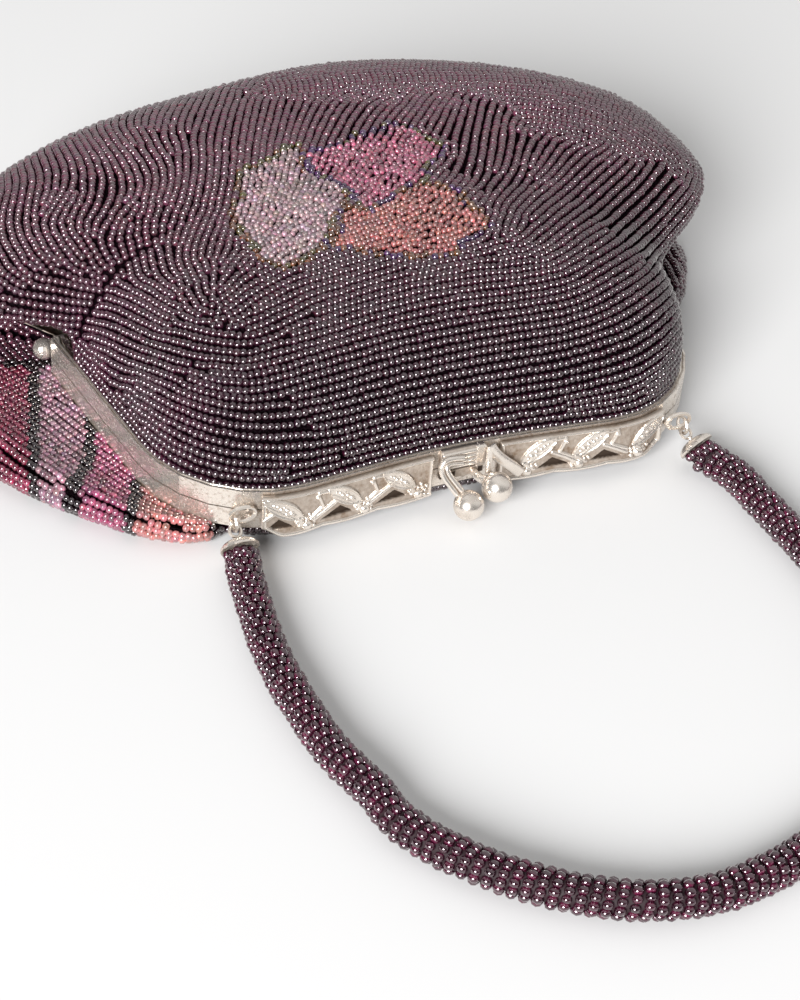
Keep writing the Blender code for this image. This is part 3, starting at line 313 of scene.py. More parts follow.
def back_points(bulging=1, belly=12, floor=14):
    """The back panel: out of the channel, out over the table in its bulge, round and flat along the table."""
    angle, radius, edge_z, free = pouch_edge(-1)
    swell = swelling(angle, BULGE_REACH_LEFT, BULGE_REACH_RIGHT, 0.4, 2.0)
    out = np.where(np.cos(angle) > 0, BULGE_RIGHT, BULGE_LEFT)
    out = out + (np.maximum(seam_radius(angle), radius) - out) * free
    belly_r = radius + np.maximum(out - radius, 0) * swell * bulging
    belly_z = BELLY_Z_FRAME + (BELLY_Z_FAR - BELLY_Z_FRAME) * free
    held_neck_z = PARTING_Z - HALF_DEPTH - 3 * CLEARANCE
    neck_z = held_neck_z + (edge_z + (belly_z - edge_z) * 0.25 - held_neck_z) * free
    t = np.linspace(0, math.pi / 2, belly)[None, :]
    lift = BULGE_LIFT * np.sqrt((belly_r - radius) / (BULGE_LEFT - SEAM_START_RADIUS))
    floor_inset = FLOOR_INSET_FRAME + (FLOOR_INSET_FAR - FLOOR_INSET_FRAME) * free
    upper_r = radius[:, None] + (belly_r - radius)[:, None] * np.sin(t)
    upper_z = belly_z[:, None] + (neck_z - belly_z)[:, None] * np.cos(t)
    upper_z = upper_z + lift[:, None] * np.sin(2 * t) * np.sin(t) ** 2
    lower_t = t[:, 1:]
    lower_r = belly_r[:, None] - floor_inset[:, None] * (1 - np.cos(lower_t))
    lower_z = belly_z[:, None] * (1 - np.sin(lower_t))
    floor_r = lower_r[:, -1:] * np.linspace(1, 0, floor + 1)[None, 1:]
    r = np.concatenate([radius[:, None], upper_r, lower_r, floor_r], axis=1)
    z = np.concatenate([edge_z[:, None], upper_z, lower_z, 0 * floor_r], axis=1)
    return np.stack([r * np.cos(angle)[:, None], r * np.sin(angle)[:, None], z], axis=-1)


def normals_of(points):
    """Unit normals of a grid of points whose first direction closes on itself."""
    around = np.roll(points, -1, axis=0) - np.roll(points, 1, axis=0)
    normal = np.cross(around, np.gradient(points, axis=1))
    length = np.linalg.norm(normal, axis=-1, keepdims=True)
    normal = normal / np.maximum(length, 1e-12)
    normal[:, -1] = normal[:, -2].mean(axis=0) / np.linalg.norm(normal[:, -2].mean(axis=0))
    return normal


def shell(points, side, near, far):
    """A closed cloth shell: the grid moved inward by two distances along its normals, joined at the edge."""
    inward = -side * normals_of(points)
    rows, columns = points.shape[:2]
    sheets = []
    for depth in (near, far):
        sheet = points + inward * depth
        sheet[:, 0] = points[:, 0] + (points[:, 1] - points[:, 0]) * EDGE_TUCK
        sheet[:, 0] += inward[:, 0] * (depth - near)
        sheet[:, 0, 2] = points[:, 0, 2]
        flat = sheet[:, :-1].reshape(-1, 3)
        sheets.append(np.vstack([flat, sheet[:, -1].mean(axis=0)]))
    quads = grid_faces(rows, columns - 1)
    count = rows * (columns - 1) + 1
    last = np.arange(rows) * (columns - 1) + columns - 2
    fan = np.stack([last, np.roll(last, -1), np.full(rows, count - 1)], axis=-1)
    edge = np.arange(rows) * (columns - 1)
    ahead = np.roll(edge, -1)
    wall = np.stack([ahead, edge, edge + count, ahead + count], axis=-1)
    if side < 0:
        return np.vstack(sheets), [quads[:, ::-1], quads + count, wall[:, ::-1], fan[:, ::-1], fan + count]
    return np.vstack(sheets), [quads, quads[:, ::-1] + count, wall, fan, fan[:, ::-1] + count]


# ---- shader maths ----

class Wire:
    """A socket of a material's nodes that plain arithmetic can be written with."""

    def __init__(self, tree, socket):
        self.tree, self.socket = tree, socket

    def lead(self, value, socket):
        """Feed a socket of another node with a wire or a constant."""
        if isinstance(value, Wire):
            self.tree.links.new(value.socket, socket)
        else:
            socket.default_value = value

    def node(self, kind, settings=None, **inputs):
        """Another node: its type, its settings first, then its sockets by name, or by number as i0, i1."""
        made = self.tree.nodes.new(kind)
        for key, value in (settings or {}).items():
            setattr(made, key, value)
        for key, value in inputs.items():
            numbered = key[0] == "i" and key[1:].isdigit()
            self.lead(value, made.inputs[int(key[1:]) if numbered else key.replace("_", " ")])
        return Wire(self.tree, made.outputs[0])

    def out(self, name):
        """The same node's output of that name."""
        return Wire(self.tree, self.socket.node.outputs[name])

    def maths(self, operation, *values):
        """A maths node of some values."""
        return self.node("ShaderNodeMath", {"operation": operation}, **{f"i{k}": v for k, v in enumerate(values)})

    def __add__(self, other):
        return self.maths("ADD", self, other)

    def __sub__(self, other):
        return self.maths("SUBTRACT", self, other)

    def __mul__(self, other):
        return self.maths("MULTIPLY", self, other)

    def __rsub__(self, other):
        return self.maths("SUBTRACT", other, self)

    __radd__, __rmul__ = __add__, __mul__

    def between(self, low, high):
        """A smooth mask: 0 below low, 1 above high."""
        return self.node("ShaderNodeMapRange", {"interpolation_type": "SMOOTHSTEP"},
                         Value=self, From_Min=low, From_Max=high)

    def mixed(self, first, second):
        """Two colours mixed by this value."""
        made = self.node("ShaderNodeMix", {"data_type": "RGBA"}).socket.node
        for number, value in ((0, self), (6, first), (7, second)):
            self.lead(value if isinstance(value, Wire) else (*value, 1), made.inputs[number])
        return Wire(self.tree, made.outputs[2])

    def bump(self, strength, distance):
        """A normal from this height."""
        return self.node("ShaderNodeBump", None, Height=self, Strength=strength, Distance=distance)


def finish(name, **constants):
    """A new material: the places it reads, its Principled shader's setter and constants on its own sockets."""
    material = bpy.data.materials.new(name)
    material.use_nodes = True
    tree = material.node_tree
    shader = tree.nodes["Principled BSDF"]
    for key, value in constants.items():
        shader.inputs[key.replace("_", " ")].default_value = value
    place = Wire(tree, tree.nodes.new("ShaderNodeTexCoord").outputs["Object"])

    def feed(socket, wire):
        tree.links.new(wire.socket, shader.inputs[socket])

    return material, place, feed


def noise(place, scale, detail=2.0, roughness=0.5):
    """Soft noise of a scale per metre."""
    return place.node("ShaderNodeTexNoise", None, Vector=place, Scale=scale, Detail=detail, Roughness=roughness)


# ---- materials ----

GLASS = {"IOR": 1.7, "Coat_Weight": 1.0, "Coat_IOR": 1.8, "Coat_Roughness": 0.03}


def attribute(place, name, output):
    """A piece's own attribute."""
    return place.node("ShaderNodeAttribute", {"attribute_name": name}).out(output)


def bead_glass():
    """Glass seed beads: the bead's own colour, glossy, with a faint bloom that differs from bead to bead."""
    material, place, feed = finish("glass_seed_beads", Specular_Tint=(1.0, 0.88, 0.93, 1.0), **GLASS)
    colour = attribute(place, "bead_colour", "Color")
    bloom = place.node("ShaderNodeVectorMath", {"operation": "MULTIPLY"}, i0=colour, i1=(1.5, 1.35, 1.4))
    feed("Base Color", noise(place, 900.0).between(0.35, 0.75).mixed(colour, bloom))
    feed("Roughness", 0.06 + noise(place, 700.0) * 0.14)
    return material


def rope_glass():
    """Translucent garnet beads: deep red, with glints from their gloss and a painted glint at each bead's ends."""
    material, place, feed = finish("garnet_beads", Specular_Tint=(1.0, 0.70, 0.84, 1.0), **GLASS)
    feed("Base Color", attribute(place, "bead_colour", "Color"))
    feed("Roughness", 0.06 + noise(place, 800.0) * 0.10)
    return material


def net_cloth():
    """The net ground under the beads: fine crossed threads that show in the gaps, coloured near black: the thread's
    own dark tone with painted shade between the beads.
    """
    material, place, feed = finish("net_ground", Specular_IOR_Level=0.0)
    weave = place.node("ShaderNodeTexVoronoi", {"feature": "DISTANCE_TO_EDGE"}, Vector=place, Scale=1500.0)
    thread = 1 - weave.between(0.05, 0.16)
    # Painted shade with the thread's own dark tone: near-black colours for the gaps between beads
    feed("Base Color", thread.mixed((0.0015, 0.0008, 0.0012), (0.0065, 0.0035, 0.0048)))
    feed("Roughness", 0.75 - thread * 0.15)
    feed("Normal", thread.bump(0.6, 0.00015))
    return material


def silvered_metal(name, embossed=False, streaked=False):
    """Warm silver-toned plating: bright on its faces, brownish in recesses and blotches, finely scuffed. The brown
    in recesses is tarnish with painted shade: an occlusion node darkens the colour where shade falls.
    An embossed piece carries its own hollows in its colour as painted shade with tarnish; a streaked one is rubbed
    brown along its arms."""
    material, place, feed = finish(name)
    # Painted shade with tarnish: the occlusion node darkens the colour in recesses
    open_sky = place.node("ShaderNodeAmbientOcclusion", {"samples": 6, "only_local": False}, Distance=0.0016)
    deep = 1 - open_sky.out("AO").between(0.25, 0.85)
    blotch = noise(place, 160.0, 4.0).between(0.50, 0.72)
    if embossed:
        # Painted shade with tarnish: sunk places darken the colour
        hollow_shade = place.node("ShaderNodeSeparateXYZ", None, Vector=attribute(place, "hollow_shade", "Vector"))
        deep = deep.maths("MAXIMUM", deep * 0.7, hollow_shade * (0.35 + noise(place, 1100.0) * 0.7))
    if streaked:
        drawn = place.node("ShaderNodeVectorMath", {"operation": "MULTIPLY"}, i0=place, i1=(1.0, 0.16, 1.0))
        blotch = blotch * 0.6 + noise(drawn, 1500.0, 3.0).between(0.50, 0.68) * 1.5
    # The brown joins the painted recess shade with tarnish blotches and rubbed streaks
    brown = deep.maths("MINIMUM", deep * 0.9 + blotch * 0.30, 1.0)
    plate = brown.mixed((0.85, 0.785, 0.715), (0.24, 0.165, 0.11))
    # Painted shade: the sunk windows are coloured near black, as if open to shadow
    feed("Base Color", hollow_shade.out("Y").mixed(plate, (0.060, 0.040, 0.028)) if embossed else plate)
    feed("Metallic", 0.84 - brown * 0.20)
    feed("Roughness", 0.17 + noise(place, 1400.0, 3.0) * 0.12 + brown * 0.22)
    feed("Normal", noise(place, 420.0).bump(0.12, 0.0004))
    return material


def satin():
    """Satin lining: a fine weave with a sheen, with painted shade that darkens the colour low in each fold."""
    material, place, feed = finish("satin_lining", Sheen_Weight=0.35, Sheen_Roughness=0.3)
    rib = place.node("ShaderNodeTexWave", {"wave_type": "BANDS", "bands_direction": "DIAGONAL"},
                     Vector=place, Scale=900.0, Distortion=1.5).out("Fac")
    folds_and_shade = noise(place, 45.0, 3.0)
    # Painted shade: the colour is darker low in each fold and lighter on its top
    feed("Base Color", folds_and_shade.mixed((0.52, 0.40, 0.33), (0.68, 0.56, 0.47)))
    feed("Roughness", 0.34 + rib * 0.12)
    feed("Normal", (rib * 0.2 + folds_and_shade).bump(0.35, 0.0006))
    return material


def paper_cord():
    """The cord in the channel: matt twisted paper."""
    material, place, feed = finish("binding_cord")
    twist = place.node("ShaderNodeTexWave", {"bands_direction": "DIAGONAL"}, Vector=place, Scale=420.0)
    feed("Base Color", twist.out("Fac").mixed((0.42, 0.36, 0.29), (0.62, 0.55, 0.45)))
    feed("Roughness", 0.75 + twist.out("Fac") * 0.15)
    return material


def core_cloth():
    """The rope's soft core between its beads: dark wine thread."""
    material, place, feed = finish("rope_core")
    twist = noise(place, 1200.0)
    feed("Base Color", twist.mixed((0.005, 0.0008, 0.002), (0.022, 0.003, 0.008)))
    feed("Roughness", 0.6 + twist * 0.2)
    return material


# ---- the rope handle ----

LEFT_EXIT, LEFT_RUN = (-0.0552951, -0.0826843, 0.0053500), (-0.05001, -0.87022, -0.49012)
RIGHT_EXIT, RIGHT_RUN = (0.0601330, -0.0823825, 0.0054630), (0.32762, -0.81906, -0.47096)
ROPE_ROUTE = (
    (-0.0567, -0.0895), (-0.0585, -0.1010), (-0.0598, -0.1100), (-0.0605, -0.1230), (-0.0600, -0.1340),
    (-0.0588, -0.1460), (-0.0550, -0.1600), (-0.0537, -0.1682), (-0.0458, -0.1813), (-0.0367, -0.1908),
    (-0.0268, -0.1981), (-0.0158, -0.2034), (-0.0031, -0.2058), (0.0057, -0.2052), (0.0168, -0.2029),
    (0.0300, -0.1985), (0.0420, -0.1905), (0.0520, -0.1795), (0.0595, -0.1660), (0.0645, -0.1510),
    (0.0668, -0.1350), (0.0665, -0.1196), (0.0655, -0.1050), (0.0644, -0.0925))
ROPE_FLOOR_Z = 0.00425
CORE_RADIUS = 0.00300
ROPE_BEAD_CENTRE = 0.00315
ROPE_RING_PITCH = 0.0025
ROPE_BEADS_ROUND = 11.6
ROPE_FIRST_BEAD, ROPE_WOBBLE = 0.0008, 0.00006
ROPE_BEAD_HALVES = (0.00086, 0.00122, 0.00112)
PATH_SPACING, EXIT_RUN = 0.0012, 0.0022
# Garnet colours, dark and light, and the gain of the painted glint at each bead's ends
GARNET_DARK, GARNET_LIGHT, GARNET_END_GLINT = (0.012, 0.0010, 0.0045), (0.028, 0.0026, 0.0098), (4.0, 4.0, 4.0)


def rope_path(spacing):
    """Points at an even spacing on a smooth curve (centripetal Catmull-Rom) through the rope's route."""
    start, end = np.array(LEFT_EXIT), np.array(RIGHT_EXIT)
    first, last = start + np.array(LEFT_RUN) * EXIT_RUN, end + np.array(RIGHT_RUN) * EXIT_RUN
    points = np.array([first] + [(x, y, ROPE_FLOOR_Z) for x, y in ROPE_ROUTE] + [last])
    ends = np.vstack([2 * points[0] - points[1], points, 2 * points[-1] - points[-2]])
    pieces = [[start]]
    for quad in zip(ends[:-3], ends[1:-2], ends[2:-1], ends[3:]):
        knots = np.cumsum([0] + [np.linalg.norm(q - p) ** 0.5 for p, q in zip(quad[:-1], quad[1:])])
        t = np.linspace(knots[1], knots[2], 16, endpoint=False)[:, None]

        def blended(p, q, i, j):
            return ((knots[j] - t) * p + (t - knots[i]) * q) / (knots[j] - knots[i])

        ab, bc, cd = (blended(quad[i], quad[i + 1], i, i + 1) for i in range(3))
        pieces.append(blended(blended(ab, bc, 0, 2), blended(bc, cd, 1, 3), 1, 2))
    fine = np.vstack(pieces + [[last], [end]])
    run = np.concatenate([[0], np.cumsum(np.linalg.norm(np.diff(fine, axis=0), axis=1))])
    even = np.linspace(0, run[-1], int(run[-1] / spacing) + 1)
    return at_ways(even, run, fine), run[-1]


def frames_along(directions, reference=(0, 0, 1.0)):
    """Unit along, side and up vectors: side is across the direction and the reference, up across both."""
    along = unit(directions)
    side = unit(np.cross(along, reference))
    return along, side, np.cross(side, along)


def tube_faces(count, sides):
    """Faces of a tube: its wall, the seam between its last and its first line, and both ends."""
    index = np.arange(count * sides).reshape(count, sides)
    seam = np.stack([index[:-1, -1], index[1:, -1], index[1:, 0], index[:-1, 0]], axis=-1)
    return [grid_faces(count, sides, around=False), seam, np.stack([index[0], index[-1][::-1]])]


def swept(path, side, up, wide, thick, sides):
    """A closed bar along a path: ellipses spanned by the side and up vectors, joined, with flat ends."""
    angle = np.arange(sides) * 2 * math.pi / sides
    ring = np.cos(angle)[None, :, None] * side[:, None] * wide + np.sin(angle)[None, :, None] * up[:, None] * thick
    return (path[:, None] + ring).reshape(-1, 3), tube_faces(len(path), sides)


def rope(core_material, bead_material):
    """The rope: a round core along the path, and beads in a slow spiral round it with holes along the turn."""
    path, length = rope_path(PATH_SPACING)
    along, side, up = frames_along(np.gradient(path, axis=0))
    points, faces = swept(path, side, up, CORE_RADIUS, CORE_RADIUS, 12)
    core = mesh_piece("rope_core", points, faces, core_material, "handle", "garnet_beads", "handle_rope")

    count = int((length - PATH_SPACING) / ROPE_RING_PITCH * ROPE_BEADS_ROUND)
    step = np.arange(count)
    at = ROPE_FIRST_BEAD + step / ROPE_BEADS_ROUND * ROPE_RING_PITCH
    run = np.linspace(0, length, len(path))
    axis, lateral, raised = frames_along(at_ways(at, run, along))
    turn = (step * 2 * math.pi / ROPE_BEADS_ROUND)[:, None]
    outward = np.cos(turn) * lateral + np.sin(turn) * raised
    around = -np.sin(turn) * lateral + np.cos(turn) * raised
    wobble = CHANCE.normal(0, ROPE_WOBBLE, (count, 3))
    half = np.array(ROPE_BEAD_HALVES) * CHANCE.normal(1, 0.035, (count, 1))
    frames = np.stack([-around, axis, outward], axis=-1) * half[:, None, :]
    template, faces = barrel(*ROUND_BEAD)
    centres = at_ways(at, run, path) + outward * ROPE_BEAD_CENTRE + wobble
    points, faces = repeated(template, faces, centres, frames)
    beads = mesh_piece("rope_beads", points, faces, bead_material, "handle", "garnet_beads")
    tone = CHANCE.normal(1, 0.22, (count, 1)).clip(0.5, 1.7)
    warm = CHANCE.random((count, 1))
    colours = (np.array(GARNET_DARK) * (1 - warm) + np.array(GARNET_LIGHT) * warm) * tone
    colour_points(beads, "bead_colour", painted_end_glints(colours, template, GARNET_END_GLINT))


# ---- rows of beads ----

# Places on the front panel (mm) and the direction that the rows of beads run in there
FRONT_ROWS = (
    (-72, 17, 42, .33, .94, 0), (-74, 20, 41, .29, .95, -.07), (-65, 16, 44, .31, .95, 0),
    (-68, 6, 43, .68, .7, .2), (-75, 28, 39, -.13, -.96, .26), (-68, 26, 42, -.1, -.97, .22),
    (-69, 30, 40, -.12, -.95, .29), (-64, 26, 43, -.14, -.97, .18), (-59, 20, 45, -.18, -.98, .1),
    (-76, 23, 40, .27, .95, -.13), (-78, 20, 40, .7, .71, .12), (-68, 10, 44, .64, .74, .19),
    (-71, 8, 43, .77, .58, .25), (-64, 5, 45, .62, .77, .16), (-62, -6, 44, .83, .44, .35),
    (-56, -5, 46, .75, .61, .28), (-50, 8, 47, -.07, -1, -.01), (-69, -6, 42, .38, -.9, -.23),
    (-80, 1, 39, .07, -.99, -.07), (-74, -13, 34, .92, -.38, -.11), (-68, -16, 33, .9, -.38, -.19),
    (-77, -5, 40, .21, -.94, -.28), (-53, -13, 42, .3, -.67, -.68), (-59, 6, 46, .4, .91, .09),
    (-56, -6, 45, .77, .55, .32), (-50, -3, 47, .48, .86, .19), (-44, -7, 47, .55, .75, .36),
    (-38, -4, 48, .44, .88, .2), (-33, 2, 49, .38, .92, .03), (-42, -14, 45, .65, .73, .2),
    (-29, 37, 45, .49, .85, -.19), (-19, 47, 43, .42, .85, -.32), (-22, 24, 48, .48, .87, -.1),
    (-17, 20, 49, .39, .92, -.08), (-44, 16, 48, .03, -1, .09), (-51, 23, 46, 0, -.99, .15),
    (-50, 11, 47, .08, -1, .03), (-55, 26, 45, .01, -.98, .21), (-79, 4, 40, -.08, -1, -.05),
    (-74, -4, 41, .04, -.97, -.24), (-69, -6, 42, .11, -.94, -.32), (-67, -11, 40, .35, -.73, -.58),
    (-83, -1, 38, 0, -.99, -.11), (-59, -14, 40, .07, -.6, -.8), (-54, -15, 41, -.2, -.97, -.16),
    (-83, -9, 34, .79, -.58, -.19), (-78, -12, 33, .91, -.4, -.1), (-75, -15, 29, .88, -.47, -.05),
    (-69, -24, 26, .3, -.87, .38), (-73, -15, 31, .88, -.47, -.04), (-65, -20, 33, .41, -.86, .31),
    (-58, -26, 38, .37, -.92, .15), (-66, -42, 28, .33, -.88, .34), (-61, -55, 31, .46, -.88, .15),
    (-55, -62, 33, .7, -.72, .05), (-52, -66, 32, .83, -.54, .09), (-44, -70, 31, .97, -.25, .06),
    (-36, -71, 32, 1, .02, -.04), (-34, -64, 37, .99, .1, .06), (-41, -60, 39, .98, -.04, .19),
    (-49, -53, 39, .75, -.66, .08), (-57, -45, 37, .47, -.86, .19), (-30, -54, 43, .99, .14, .08),
    (-32, -48, 44, .97, .21, .15), (-34, -44, 45, .96, .23, .18), (-30, -51, 44, .99, .1, .08),
    (-40, -45, 44, .95, .21, .24), (-41, -34, 45, .83, .5, .26), (-47, -32, 43, 0, -1, -.06),
    (-69, -37, 22, .21, -.94, .26), (-65, -54, 25, .31, -.94, .17), (-60, -64, 27, .59, -.81, -.03),
    (-64, -62, 22, .47, -.88, -.04), (-57, -69, 24, .72, -.69, -.04), (-54, -72, 22, .83, -.56, 0),
    (-46, -76, 20, .97, -.24, -.1), (-38, -77, 19, .99, .06, -.13), (-70, -34, 16, .14, -.98, .11),
    (-71, -25, 17, .15, -.98, .16), (-22, -68, 34, .99, .1, .06), (-24, -72, 29, 1, .07, .02),
    (-5, -73, 25, 1, 0, .01), (-4, -70, 31, 1, -.01, .05), (-2, -66, 36, 1, -.05, .04),
    (-0, -60, 41, 1, -.04, .07), (2, -54, 44, 1, -.03, .08), (15, -75, 22, 1, -.08, -.01),
    (16, -70, 35, .99, -.1, .04), (20, -59, 43, .99, -.14, .01), (24, -51, 46, 1, -.08, .01),
    (5, -57, 43, .98, -.18, .01), (16, -54, 45, .98, -.21, 0), (27, -57, 45, 1, -.05, .02),
    (23, -66, 40, .99, -.11, .02), (-6, -51, 44, 1, .02, .08), (-18, -49, 45, .99, .13, .05),
    (37, -44, 47, .81, .59, -.02), (56, -35, 42, .74, .65, -.17), (79, -21, 40, .77, .64, -.03),
    (60, -17, 46, .82, .57, -.02), (46, -23, 47, .83, .56, -.03), (42, -16, 49, .59, .8, .03),
    (37, -8, 49, .44, .9, .01), (39, -13, 49, .52, .85, .03), (25, -38, 49, .51, .86, .06),
    (38, -33, 48, .79, .61, -.09), (35, -53, 46, .9, .44, .02), (40, -58, 43, .87, .49, .03),
    (41, -65, 40, .92, .38, .05), (62, -44, 37, .55, .71, -.44), (60, -57, 36, .67, .68, -.31),
    (35, -68, 39, .99, .07, .08), (35, -73, 33, .99, -.01, .15), (35, -76, 27, .99, -.07, .09),
    (50, -68, 35, .85, .53, 0), (48, -73, 30, .92, .4, .03), (48, -75, 23, .94, .31, .11),
    (80, -30, 30, .79, .61, .04), (84, -23, 35, .76, .65, 0), (38, 28, 48, .98, -.22, -.04),
    (57, 18, 48, .96, -.28, -.08), (25, 35, 48, .98, -.19, -.01), (2, 33, 48, .96, -.26, .09),
    (74, 7, 45, .77, -.61, -.18), (76, -6, 45, .44, -.88, -.19), (83, -10, 42, .48, -.81, -.35),
    (1, 18, 50, .6, .8, -.02), (-7, 24, 49, .43, .9, -.06), (39, 10, 49, .46, .89, -.04),
    (31, 17, 49, .69, .72, -.06), (60, 1, 48, .9, -.42, -.11))
# The same on the back panel; the hidden places go on in the way of the seen ones
BACK_ROWS = (
    (-79, 8, 6, .17, -.92, -.35), (-86, -16, 6, .51, -.84, -.16), (-82, -28, 5, .32, -.95, -.01),
    (-89, -23, 6, .34, -.94, -.02), (-80, -46, 6, .22, -.97, .03), (-76, -46, 5, .51, -.86, -.03),
    (-74, -54, 5, .41, -.91, -.01), (-79, -62, 7, .58, -.81, -.12), (-67, -64, 5, .58, -.82, 0),
    (-66, -73, 6, .89, -.41, -.18), (-61, -72, 6, .80, -.60, .04), (-86, -50, 8, .44, -.90, -.05),
    (0, -70, 2, 1, 0, 0), (40, -70, 2, 1, .15, 0), (70, -40, 4, .5, .86, 0), (90, 0, 8, .1, 1, 0),
    (0, -40, 0, 1, 0, 0), (0, 0, 0, 1, 0, 0), (-40, 0, 0, .8, -.6, 0), (40, 0, 0, .8, .6, 0),
    (0, 40, 0, 1, 0, 0), (0, 62, 10, 1, 0, 0), (60, 45, 10, .8, -.6, 0), (-60, 45, 10, .8, .6, 0))

# Bead colours, linear: fields, leaves and outlines
PLUM, MAUVE, WINE = map(np.array, ((0.0110, 0.0015, 0.0052), (0.064, 0.021, 0.034), (0.030, 0.0034, 0.0135)))
LILAC, MAGENTA, SALMON = (0.200, 0.138, 0.148), (0.185, 0.054, 0.086), (0.19, 0.067, 0.061)
RED, GREY_LILAC = (0.110, 0.0115, 0.031), (0.170, 0.094, 0.120)
DEEP_MAGENTA, CORAL = (0.180, 0.045, 0.087), (0.265, 0.107, 0.098)
OLIVE, BROWN = (0.045, 0.038, 0.012), (0.070, 0.028, 0.012)
VIOLET, BLACK = (0.028, 0.010, 0.042), (0.004, 0.0018, 0.0027)
# Middles and reaches of the two wine fields: at the left hinge, and low beside it
WINE_FIELDS = (((-0.066, -0.024, 0.024), 0.030), ((-0.060, -0.055, 0.024), 0.022))
# How near to a leaf's outline the beads take the outline's colours, front and back
FRONT_OUTLINE, BACK_OUTLINE = 0.0009, 0.0012
# The leaf motif: each leaf's outline seen from above (mm), its colour and those of its outline beads
FRONT_MOTIF = (
    (((-8.4, 6.3), (-13.2, 5.9), (-17.6, 1.6), (-25.9, -.1), (-28.7, -3.7), (-28.4, -8.3), (-33, -12.8),
      (-34.2, -19), (-33.1, -27.7), (-33.4, -33.7), (-28.9, -37.8), (-23.2, -37), (-17.3, -33.1),
      (-12.7, -25.8), (-5.4, -19.1), (-5.4, -13.9), (-8.7, -8.8), (-11.4, -4.1), (-9.6, 1.8)),
     LILAC, (OLIVE, BROWN, BROWN)),
    (((-8.7, 1.5), (-4, 3), (1.6, 3.2), (6.2, 6.8), (10.8, 6.4), (17.1, 9.2), (21.1, 6), (22.7, 1.1),
      (25.2, -3.6), (22.4, -8.5), (16.6, -12.7), (14.2, -18.1), (8.1, -19), (3.6, -21.2), (-.6, -24),
      (-5, -24.1), (-4.5, -16.8), (-7.1, -10.7), (-10.4, -5.5)),
     MAGENTA, (VIOLET, OLIVE, VIOLET)),
    (((-10.2, -23.4), (-6.9, -22.7), (-2.3, -25), (3.8, -22.1), (7.8, -19.8), (13.4, -18.8), (17.9, -20.9),
      (20.7, -25.2), (19.4, -29.2), (22.2, -34), (22, -37.9), (17.8, -41.5), (12.4, -42.7), (9.4, -45.1),
      (1.8, -43.4), (-3.9, -41.6), (-8.1, -39), (-12, -36.5), (-17.8, -34.4), (-13.1, -30.6), (-11, -27.8)),
     SALMON, (BROWN, VIOLET, BROWN)))
BACK_MOTIF = (
    (((-130, 6), (-78.5, -2.3), (-77, -42), (-95, -56), (-130, -50)), RED, (BLACK,)),
    (((-78.5, -2.3), (-60, -4), (-62, -18), (-71.9, -27), (-77, -42), (-83, -50.2), (-95, -66), (-97, -58),
      (-91.6, -47.2)), GREY_LILAC, (BLACK,)),
    (((-71.9, -26.8), (-50, -18), (-50, -36), (-69, -53.4), (-75.8, -66.3), (-90, -82), (-100, -70),
      (-85.5, -56), (-76.6, -41.7)), DEEP_MAGENTA, (BLACK,)),
    (((-68.8, -53), (-57, -50), (-57, -60), (-57, -90), (-66, -98), (-88, -84), (-75.8, -66.3)),
     CORAL, (BLACK,)))


def surface_tree(points):
    """The surface as triangles in a search tree, with the middle of each."""
    quads = grid_faces(*points.shape[:2])
    triangles = np.concatenate([quads[:, [0, 1, 2]], quads[:, [0, 2, 3]]])
    flat = points.reshape(-1, 3)
    corners = flat[triangles]
    normal = np.cross(corners[:, 1] - corners[:, 0], corners[:, 2] - corners[:, 0])
    size = np.linalg.norm(normal, axis=1)
    keep = size > 1e-13
    triangles, corners, normal = triangles[keep], corners[keep], normal[keep] / size[keep, None]
    return BVHTree.FromPolygons(flat.tolist(), triangles.tolist()), corners.mean(axis=1), normal


def row_directions(middles, normals, rows):
    """The rows' direction on each face: the mean of the given directions, near ones weighing most,
    taken with doubled angles in the face's plane so that a direction and its reverse agree."""
    table = np.array(rows, float)
    places, runs = table[:, :3] / 1000, table[:, 3:]
    first = np.cross(normals, (0.0, 0.0, 1.0))
    small = np.linalg.norm(first, axis=1) < 1e-4
    first[small] = (1, 0, 0)
    first -= normals * np.sum(first * normals, axis=1, keepdims=True)
    first /= np.linalg.norm(first, axis=1, keepdims=True)
    second = np.cross(normals, first)
    a, b = first @ runs.T, second @ runs.T
    apart = np.sum((middles[:, None] - places[None]) ** 2, axis=2)
    weight = 1 / (apart + 0.004 ** 2) ** 1.6
    angle = 0.5 * np.arctan2(np.sum(weight * 2 * a * b, axis=1), np.sum(weight * (a * a - b * b), axis=1))
    return first * np.cos(angle)[:, None] + second * np.sin(angle)[:, None]


def edge_row(points, free, inset_held, inset_free):
    """Places a little way in from the panel's edge, at the bead's pitch, once round: clear of the frame's lip
    along the channel, close to the edge along the free seam."""
    inset = inset_held + (inset_free - inset_held) * ease(free * 3)
    run = np.concatenate([np.zeros((len(points), 1)),
                          np.cumsum(np.linalg.norm(np.diff(points, axis=1), axis=2), axis=1)], axis=1)
    share = np.array([np.interp(way, r, np.arange(len(r))) for way, r in zip(inset, run)])
    low = np.floor(share).astype(int)
    part = (share - low)[:, None]
    index = np.arange(len(points))
    ring = points[index, low] * (1 - part) + points[index, low + 1] * part
    ring = np.vstack([ring, ring[:1]])
    along = np.concatenate([[0], np.cumsum(np.linalg.norm(np.diff(ring, axis=0), axis=1))])
    return at_ways(np.linspace(0, along[-1], int(along[-1] / BEAD_PITCH), endpoint=False), along, ring)


class Cells:
    """Things kept by the cell of space that they lie in."""

    def __init__(self, size):
        self.size, self.held = size, {}

    def key(self, place):
        return tuple(int(c // self.size) for c in place)

    def put(self, place, thing):
        self.held.setdefault(self.key(place), []).append(thing)

    def around(self, place):
        """All things in the place's cell and in those next to it."""
        spans = [(k - 1, k, k + 1) for k in self.key(place)]
        return (thing for cell in product(*spans) for thing in self.held.get(cell, ()))


